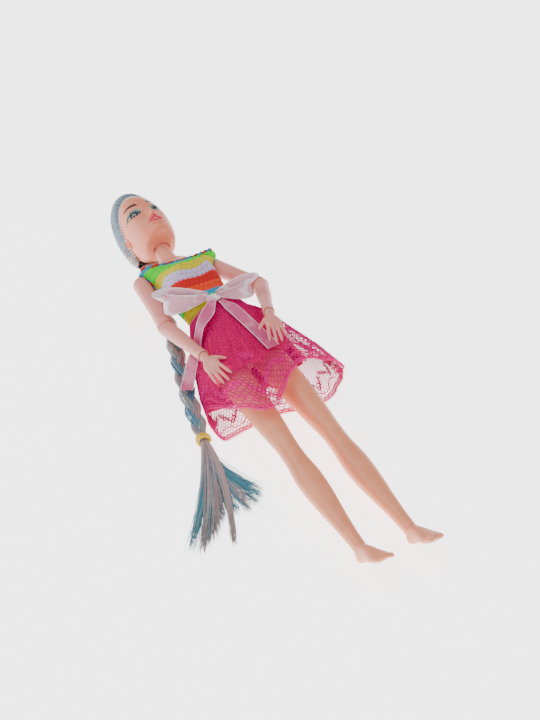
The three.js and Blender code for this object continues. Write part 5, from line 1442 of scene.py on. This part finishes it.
# leaves in each repeat: share of the length down, half length, lean in radians, place round it
LEAVES = ((0.83, 6.5, 0.7, 0.0), (0.8, 6.0, -0.9, 0.45), (0.56, 5.5, 0.8, 0.25))
LEAF_PITCH = 15
LACE_LENGTH = 66
CORD = 0.36
CORD_GAP = 1.9
LACE_PINK = (0.98, 0.0, 0.25)
NET_PINK = (0.74, 0.0, 0.21)


def lace_point(down, around):
    """The lace: the skirt's form again, from the waist to a hem whose length changes round the skirt."""
    angle = from_behind(around)
    hem = between(LACE_HEM, np.degrees(angle) % 360)[..., 1]
    at = proud_of(skirt_point, 0.01 + (hem - 0.01) * down, angle, -LACE_OFFSET + 0 * angle)
    at[..., 2] = np.maximum(at[..., 2], LACE_FLOOR)
    return at


def sprig(down, around):
    """How dense the lace is worked, 0 to 1: long leaves in each repeat above the hem, leaning by turns both
    ways, and a row of them higher up."""
    density = np.zeros_like(down)
    for centre, length, lean, offset in LEAVES:
        across = ((around * SPRIGS + offset) % 1 - 0.5) * LEAF_PITCH
        up = (centre - down) * LACE_LENGTH
        along, aside = rolled(up, across, lean)
        reach = np.hypot(along / length, aside / (1.5 + 0.5 * np.cos(along * 1.9)))
        density = np.maximum(density, np.clip((1 - reach) * 4, 0, 1))
    return density


ring = np.arange(2 * NET_CELLS + 1) / (2 * NET_CELLS)
levels = (np.arange(NET_ROWS) + 0.5) / NET_ROWS
zigzag = np.where(np.arange(2 * NET_CELLS + 1) % 2 == 0, 1, -1) * NET_ZIGZAG / NET_ROWS
odd = (np.arange(NET_ROWS) % 2)[:, None]
net_down = levels[:, None] + zigzag[None] * (1 - 2 * odd)
net_around = np.broadcast_to(ring[None], net_down.shape)
link_row, link_cell = np.meshgrid(np.arange(NET_ROWS - 1), np.arange(NET_CELLS), indexing="ij")
link_at = (2 * link_cell + (link_row % 2)).reshape(-1)
link_from = net_down[link_row.reshape(-1), link_at]
link_to = net_down[link_row.reshape(-1) + 1, link_at]
steps = np.linspace(0, 1, LINK_STEPS)[None]
link_down = link_from[:, None] * (1 - steps) + link_to[:, None] * steps
link_around = np.repeat(ring[link_at][:, None], LINK_STEPS, axis=1)
net_skins = [strands(lace_point(*at), NET_THREAD + (SPRIG_THREAD - NET_THREAD) * sprig(*at))
             for at in ((net_down, net_around), (link_down, link_around))]


def lace_yarn(name, colour):
    """Spun thread: a fine twist round it, and a colour that drifts a little paler and darker."""
    finish = Finish(name, Specular_IOR_Level=0.12)
    wear = finish.noise(0.5, 3.0)
    return finish.use(finish.mix(wear.between(0.3, 0.7), darker(colour, 0.8), colour), 0.55 + 0.1 * wear,
                      height=finish.twist(8.0, 6.0, 7.0), strength=0.4, distance=0.08 * MM)


net = dressed("lace_net", mesh_of("net", *net_skins), "torso", lace_yarn("net_thread", NET_PINK), "lace_cloth")


def on_lace(down, around, thick, sides=3):
    """Threads on the lace, down[thread, step] and around[thread, step], all of one thickness."""
    return strands(lace_point(down, around), np.full(around.shape, thick), sides)


HEM_STEPS = 701
TIES = 210
TIE_RADIUS = 0.17
LOOPS = 170
LOOP_REACH = 1.15
LOOP_RADIUS = 0.13
SWAG_RISE = 6.2
SWAG_DIP = 1.6
SWAG_RADIUS = 0.26
HAZE_GRID = (56, 300)
hem_around = np.linspace(0, 1, HEM_STEPS)[None]
hem_scallop = 0.5 + 0.5 * np.cos(2 * math.pi * SPRIGS * 2 * hem_around)
tie_around = np.repeat((np.arange(TIES) / TIES)[:, None], 3, axis=1) + np.array([0, 0.0012, 0])[None]
tie_down = 1 - np.linspace(0, CORD_GAP, 3)[None] / SKIRT_LENGTH + 0 * tie_around
loop_phase = np.linspace(0, math.pi, 8)[None]
loop_around = (np.arange(LOOPS) / LOOPS)[:, None] - 0.5 / LOOPS * np.cos(loop_phase)
loop_down = 1 + LOOP_REACH * np.sin(loop_phase) / SKIRT_LENGTH + 0 * loop_around
swag_down = 1 - (SWAG_RISE + SWAG_DIP * np.cos(2 * math.pi * SPRIGS * hem_around)) / SKIRT_LENGTH
cord_skins = [on_lace(1 - inset / SKIRT_LENGTH - 0.3 * hem_scallop / SKIRT_LENGTH, hem_around, thick, 7)
              for inset, thick in ((0.0, CORD), (CORD_GAP, CORD * 0.85))]
cord_skins += [on_lace(tie_down, tie_around, TIE_RADIUS), on_lace(loop_down, loop_around, LOOP_RADIUS),
               on_lace(swag_down, hem_around, SWAG_RADIUS, 5)]
hem_cords = dressed("lace_hem_cords", mesh_of("cords", *cord_skins), "torso", lace_yarn("hem_cord", LACE_PINK),
                    "lace_cloth")

down, around = grid(*HAZE_GRID)
haze_points = lace_point(down, around)
haze = Finish("lace_haze", Specular_IOR_Level=0.1)
fibre = haze.noise(1.6, 3.0)
opaque = 0.2 + haze.attribute("dense") * 0.6 + (fibre - 0.5) * 0.16
haze.use(haze.mix(fibre, darker(LACE_PINK, 0.85), LACE_PINK), 0.7, alpha=opaque.most(0.02), height=fibre)
lace = dressed("lace_skirt", mesh_of("haze", skin(haze_points, ends=False), outwards=False,
                                     marks={"dense": sprig(down, around).reshape(-1)}),
               "torso", haze.material, "lace_cloth", "skirt_lace")

# The dress closes down the back with a strip of soft loop tape in pale pink. It runs over bodice and skirt and
# is sewn on with a line of stitches at each edge.
TAPE_WIDTH = 8.0
TAPE_GRID = (150, 40)
TAPE_THICKNESS = 1.4
TAPE_FOOT = -3.0
TAPE_LENGTH = 88.0
TAPE_COLOUR = (0.80, 0.66, 0.70)
STITCH_COLOUR = (0.9, 0.85, 0.86)


def tape_point(down, around):
    """The tape: a flat section with rounded edges, along the back of the skirt and up the bodice."""
    along = TAPE_FOOT + TAPE_LENGTH * (1 - down)
    share = (along - TORSO_FOOT) / TORSO_LENGTH
    skirt_share = (WAIST_ALONG - along) / SKIRT_LENGTH
    back_angle = np.full_like(down, -math.pi / 2)
    by_bodice = torso_point(share, back_angle, 0.0)[..., 2] - 2 * SEAT - 0.8
    by_skirt = skirt_point(np.clip(skirt_share, 0, None), back_angle)[..., 2] - 1.52 - 0.5 - 2 * SEAT
    top = np.where(skirt_share > -0.04, np.minimum(by_skirt, by_bodice), by_bodice)
    middle = np.clip(np.where(skirt_share > 0.22, 0, top - TAPE_THICKNESS), 0, None) + TAPE_THICKNESS / 2
    c, s = outline(2 * math.pi * around, 7)
    end = np.clip(np.minimum(down, 1 - down) / 0.01, 0.05, 1) ** 0.5
    return stacked(c * TAPE_WIDTH / 2 * (0.9 + 0.1 * end), along, middle + s * TAPE_THICKNESS / 2 * end * 0.98)


down, around = grid(*TAPE_GRID)
tape = Finish("loop_tape", Sheen_Weight=0.3)
px, py, pz = tape.place()
curl = tape.node("ShaderNodeTexVoronoi", {}, Vector=tape.vector(px, py, pz), Scale=2.2)
sewn = (3.2 - abs(abs(px) - 0.1)).between(0.12, 0.0) * (abs(px) - 2.9).between(0.0, 0.1)
stitches = sewn * (py * 4.2).sine().between(-0.1, 0.3)
pile = tape.mix(curl, TAPE_COLOUR, darker(TAPE_COLOUR, 0.8))
tape.use(tape.mix(stitches, pile, STITCH_COLOUR), 0.9, height=curl - stitches, strength=0.6, distance=0.2 * MM)
dressed("back_tape", mesh_of("tape", skin(tape_point(down, around))), "torso", tape.material, "closure_tape",
        "back_closure")

# A bow of pale pink satin ribbon is sewn to the front of the waist: a small pleated knot, two loops, and two
# sheer tails that lie down the skirt.
KNOT = (-0.39, 41.506, 31.192)
KNOT_RADIUS = 3.0
KNOT_GRID = (60, 90)
KNOT_PLEATS = 9
KNOT_CREASE = 0.07
RIBBON_WIDTH = 6.5
RIBBON = 0.16
SATIN = (0.74, 0.35, 0.46)
# the colour of the satin's painted sheen
SATIN_HIGHLIGHT = (1.0, 0.88, 0.92)
SHEER = (0.64, 0.10, 0.26)
# the colour of the sheer ribbon's painted sheen
SHEER_HIGHLIGHT = (0.74, 0.22, 0.38)
LOOP_STEPS = 110
RIGHT_TAIL_STEPS = 120
LEFT_TAIL_STEPS = 110


def satin_finish(name, colour, light, alpha=None):
    """Satin ribbon: a slanting weave, a painted sheen that runs with it, paler woven edges, and thin cloth that
    lets light through where it is sheer."""
    finish = Finish(name, Anisotropic=0.3)
    along, across = finish.attribute("along"), finish.attribute("across")
    weave = ((along + across * 2.2) * 9.0).sine()
    rib = (across * 26.0).sine()
    sheen = finish.noise(1.0, 1.0, along * 0.11 + 3, across * 0.55)
    edge = abs(across).between(0.86, 0.93)
    # painted sheen: broad streaks, and the threads of the weave, drawn towards the highlight colour
    shade = finish.mix(sheen.between(0.5, 0.62) * 0.8 + weave.between(-0.2, 1) * 0.12, colour, light)
    shade = finish.mix(edge * 0.8, shade, (0.93, 0.78, 0.81))
    seen = None if alpha is None else (edge * (1 - alpha) + alpha + weave * 0.04)
    return finish.use(shade, 0.36 + 0.12 * (sheen - 0.5), alpha=seen, height=weave + rib * 0.4, strength=0.25,
                      distance=0.06 * MM)


def ribbon(name, path, across, width, material, node, flat, puckers, cup, area=None, lean=0.0, **held):
    """A ribbon as a grid: its path with its width along across, cupped over its width by a square, and
    puckered at its ends by a cosine."""
    rows, columns = len(path), 25
    along = unit(np.gradient(path, axis=0))
    side = unit(across - along * (across * along).sum(-1, keepdims=True))
    up = np.cross(side, along)
    w = np.linspace(-1, 1, columns)[None]
    u = np.linspace(0, 1, rows)[:, None]
    run = np.concatenate([[0], np.cumsum(np.linalg.norm(np.diff(path, axis=0), axis=1))])
    lift = cup(u) * (w**2 - 0.4) + puckers(u) * np.cos(5.5 * math.pi * w + 2 * np.sin(3 * u))
    points = (path[:, None] + side[:, None] * (w * width(u) / 2)[..., None] + up[:, None] * lift[..., None]
              + np.asarray(lean) * (w * np.sin(math.pi * u) ** 4)[..., None])
    mesh = mesh_of(name, skin(points, wrap=False, ends=False), outwards=False,
                   marks={"along": np.repeat(run, columns), "across": np.tile(w[0], rows)})
    piece = dressed(name, mesh, "torso", material, "satin", node)
    walled(piece, RIBBON)
    return piece


def loop_path(direction, length, spread, puff, u):
    """Out from the knot, over at the tip and back in front of itself, with the direction of its width."""
    out = unit(np.array(direction, float))
    to_head = np.array([0, 0.5, 0.86])
    aside = unit(to_head - out * (to_head @ out))
    front = np.cross(aside, out)
    front = front * (-1 if front[2] < 0 else 1)
    phase = math.pi * (0.012 + 0.976 * u)[:, None]
    sine = np.sin(phase)
    root = np.array(KNOT) + out * (KNOT_RADIUS * 0.1 + 0.3)
    path = (root + out * length * sine**0.8 + aside * spread * (1 - 2 * u[:, None]) * sine**0.9
            - front * puff * np.cos(phase) * (0.35 + 0.65 * sine))
    return path, np.broadcast_to(aside, path.shape), out


def loop_width(wide):
    """The width along a loop, as a sine: wide at its tip, and gathered where it enters the knot."""
    return lambda v: wide * (0.22 + 0.78 * np.sin(math.pi * np.clip(v, 0, 1)) ** 0.85)


satin = satin_finish("satin_ribbon", SATIN, SATIN_HIGHLIGHT)
sheer = satin_finish("sheer_ribbon", SHEER, SHEER_HIGHLIGHT, 0.86)
u = np.linspace(0, 1, LOOP_STEPS)
# each loop: its direction, length, spread, puff, the length of its flat ribbon in metres, and its width
BOW_LOOPS = {
    "right": ((-22.5, 9, -3), 24, 4.8, 1.9, 0.050, 12.6),
    "left": ((18, -6, 4), 19.5, 4.6, 2.4, 0.042, 10.4),
}
for name, (direction, length, spread, puff, cut, wide) in BOW_LOOPS.items():
    path, aside, out = loop_path(direction, length, spread, puff, u)
    ribbon(f"loop_of_bow_{name}", path, aside, loop_width(wide), satin, f"bow_loop_{name}", (cut, 0.010),
           lambda v: 0.3 * (1 - np.sin(math.pi * v)) ** 2, lambda v: 0.9 * np.sin(math.pi * v), lean=out * 2.4,
           held="folded", rests_on=["knit_bodice"])

down, around = grid(*KNOT_GRID)
polar, turned = math.pi * (0.04 + 0.92 * down), 2 * math.pi * around
swell = np.sin(polar)
crease = 1 + KNOT_CREASE * np.cos(KNOT_PLEATS * turned + 1.5 * np.sin(2 * polar)) * swell
knot_points = stacked(np.cos(turned) * swell * crease * 1.3 - 0.1, -np.cos(polar) * 0.86 - 0.5,
                      np.sin(turned) * swell * 0.56 * crease - 0.25) * KNOT_RADIUS
knot_mesh = mesh_of("knot", skin(knot_points + np.array(KNOT)),
                    marks={"along": np.append(down * 6, [0, 6]),
                           "across": np.append(around * 1.4 - 0.7, [0, 0])})
dressed("bow_knot_gathers", knot_mesh, "torso", satin, "satin", "bow_knot")

RIGHT_TAIL = np.array([
    [-0.6, 39.6, 31.4], [-2.4, 37.4, 30.6], [-8.4, 30.5, 29.8], [-14.6, 25, 28.2], [-18, 21.3, 24.1],
    [-19.9, 18.9, 18.5], [-24, 15.6, 15.1], [-27.4, 11.4, 12.1], [-30.4, 7.2, 9.9], [-33.2, 3.4, 9],
])
LEFT_TAIL = ((1.8, 37), (4.5, 29), (6.6, 18), (8.2, 7), (9.6, -6))
TAIL_PROUD = 1.52 + 0.5 + 0.385 + 0.2 + 0.48


def on_skirt(x, y, proud):
    """The place on the skirt's upper side under a point, standing proud of it."""
    share = np.clip((WAIST_ALONG - y) / SKIRT_LENGTH, 0, None)
    row = between(SKIRT_SHARES, share)
    left, right = row[..., 2], row[..., 1]
    c = (2 * x - (left - right) * SKIRT_HALF_WIDTH) / ((left + right) * SKIRT_HALF_WIDTH)
    return proud_of(skirt_point, share, np.arccos(np.clip(c, -0.99, 0.99)), -proud + 0 * x)


def tail_ends(v):
    """How wide a tail is along its length, as a share: 0.4 at the knot, rising to 1 a fifth of the way down."""
    return np.minimum(0.4 + 3 * v, 1)


right_route, _ = smooth_route(RIGHT_TAIL, RIGHT_TAIL_STEPS)
ribbon("tail_of_bow_right", right_route, np.broadcast_to(np.array([-0.12, 1, 0.1]), right_route.shape),
       lambda v: RIBBON_WIDTH * (1 - 0.25 * np.exp(-(((v - 0.42) / 0.13) ** 2))) * tail_ends(v), sheer,
       "bow_tail_right", (0.010, 0.058), lambda v: 0.2 * np.exp(-v * 14), lambda v: 0.25 + 0 * v, 0.00033,
       held="laid", rests_on=["lace_skirt"])
left_table = np.column_stack([np.linspace(0, 1, len(LEFT_TAIL)), np.array(LEFT_TAIL)])
x, y = between(left_table, np.linspace(0, 1, LEFT_TAIL_STEPS))[:, 1:].T
left_across = on_skirt(x + 2, y, TAIL_PROUD) - on_skirt(x - 2, y, TAIL_PROUD)
ribbon("tail_of_bow_left", on_skirt(x, y, TAIL_PROUD), left_across, lambda v: RIBBON_WIDTH * tail_ends(v),
       sheer, "bow_tail_left", (0.010, 0.045), lambda v: 0.2 * np.exp(-v * 14), lambda v: 0.15 + 0 * v, 0.00029,
       held="laid", rests_on=["lace_skirt"])

# The floor is a broad sheet of pale paper. Three soft boxes and an even sky light the doll, and the camera
# looks down on it from the photograph's side.
FLOOR_COLOUR = (0.86, 0.86, 0.86)
FLOOR_SPAN = 3000
FLOOR_GLOW = 3.0
SKY_STRENGTH = 0.5
SHEET_STEPS = 6
down, across = grid(SHEET_STEPS, SHEET_STEPS, wrap=False)
floor_points = stacked((across - 0.5) * FLOOR_SPAN, (down - 0.5) * FLOOR_SPAN, 0 * down)
floor_mesh = mesh_of("floor", skin(floor_points, wrap=False, ends=False), outwards=False)
floor = bpy.data.objects.new("floor", floor_mesh)
bpy.context.scene.collection.objects.link(floor)
paper = Finish("backdrop_paper", Emission_Color=(1.0, 1.0, 1.0, 1.0), Emission_Strength=FLOOR_GLOW)
paper_grain = paper.noise(0.02, 2.0)
floor.data.materials.append(paper.use(paper.mix(paper_grain, FLOOR_COLOUR, darker(FLOOR_COLOUR, 1.01)), 0.9))
floor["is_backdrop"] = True

world = bpy.data.worlds.new("studio")
bpy.context.scene.world = world
world.use_nodes = True
sky = world.node_tree.nodes["Background"].inputs
sky["Color"].default_value = (1.0, 1.0, 1.0, 1.0)
sky["Strength"].default_value = SKY_STRENGTH
# each soft box: place in millimetres, size, watts
SOFT_BOXES = (((-500, 500, 900), 700, 7.0), ((500, -300, 900), 800, 3.4), ((-200, -700, 500), 600, 1.8))
for i, (at, size, watts) in enumerate(SOFT_BOXES):
    lamp = bpy.data.lights.new(f"soft_box_{i}", "AREA")
    lamp.size = size * MM
    lamp.energy = watts
    box = bpy.data.objects.new(f"soft_box_{i}", lamp)
    bpy.context.scene.collection.objects.link(box)
    box.location = np.array(at) * MM
    tilt, facing = math.atan2(math.hypot(at[0], at[1]), at[2]), math.atan2(at[1], at[0])
    box.rotation_euler = (tilt, 0, facing + math.pi / 2)

VIEW_TURN = -27.415
VIEW_RISE = 36.649
VIEW_REACH = 743.188
VIEW_TARGET = (13.169, 5.091, 10.0)
VIEW_LENS = 75.0
turned, raised = math.radians(VIEW_TURN), math.radians(VIEW_RISE)
back = np.array([math.sin(turned) * math.cos(raised), -math.cos(turned) * math.cos(raised), math.sin(raised)])
right = np.array([math.cos(turned), math.sin(turned), 0.0])
up = np.cross(back, right)
lens = bpy.data.cameras.new("camera")
lens.lens = VIEW_LENS
lens.sensor_width = 36.0
lens.clip_start = 10 * MM
camera = bpy.data.objects.new("camera", lens)
bpy.context.scene.collection.objects.link(camera)
pose = np.eye(4)
pose[:3, 0], pose[:3, 1], pose[:3, 2] = right, up, back
pose[:3, 3] = (np.array(VIEW_TARGET) + back * VIEW_REACH) * MM
camera.matrix_world = Matrix(pose.tolist())
bpy.context.scene.camera = camera

size = {"cad": [list(corner) for corner in cad_box], "visual": [list(corner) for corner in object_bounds()]}
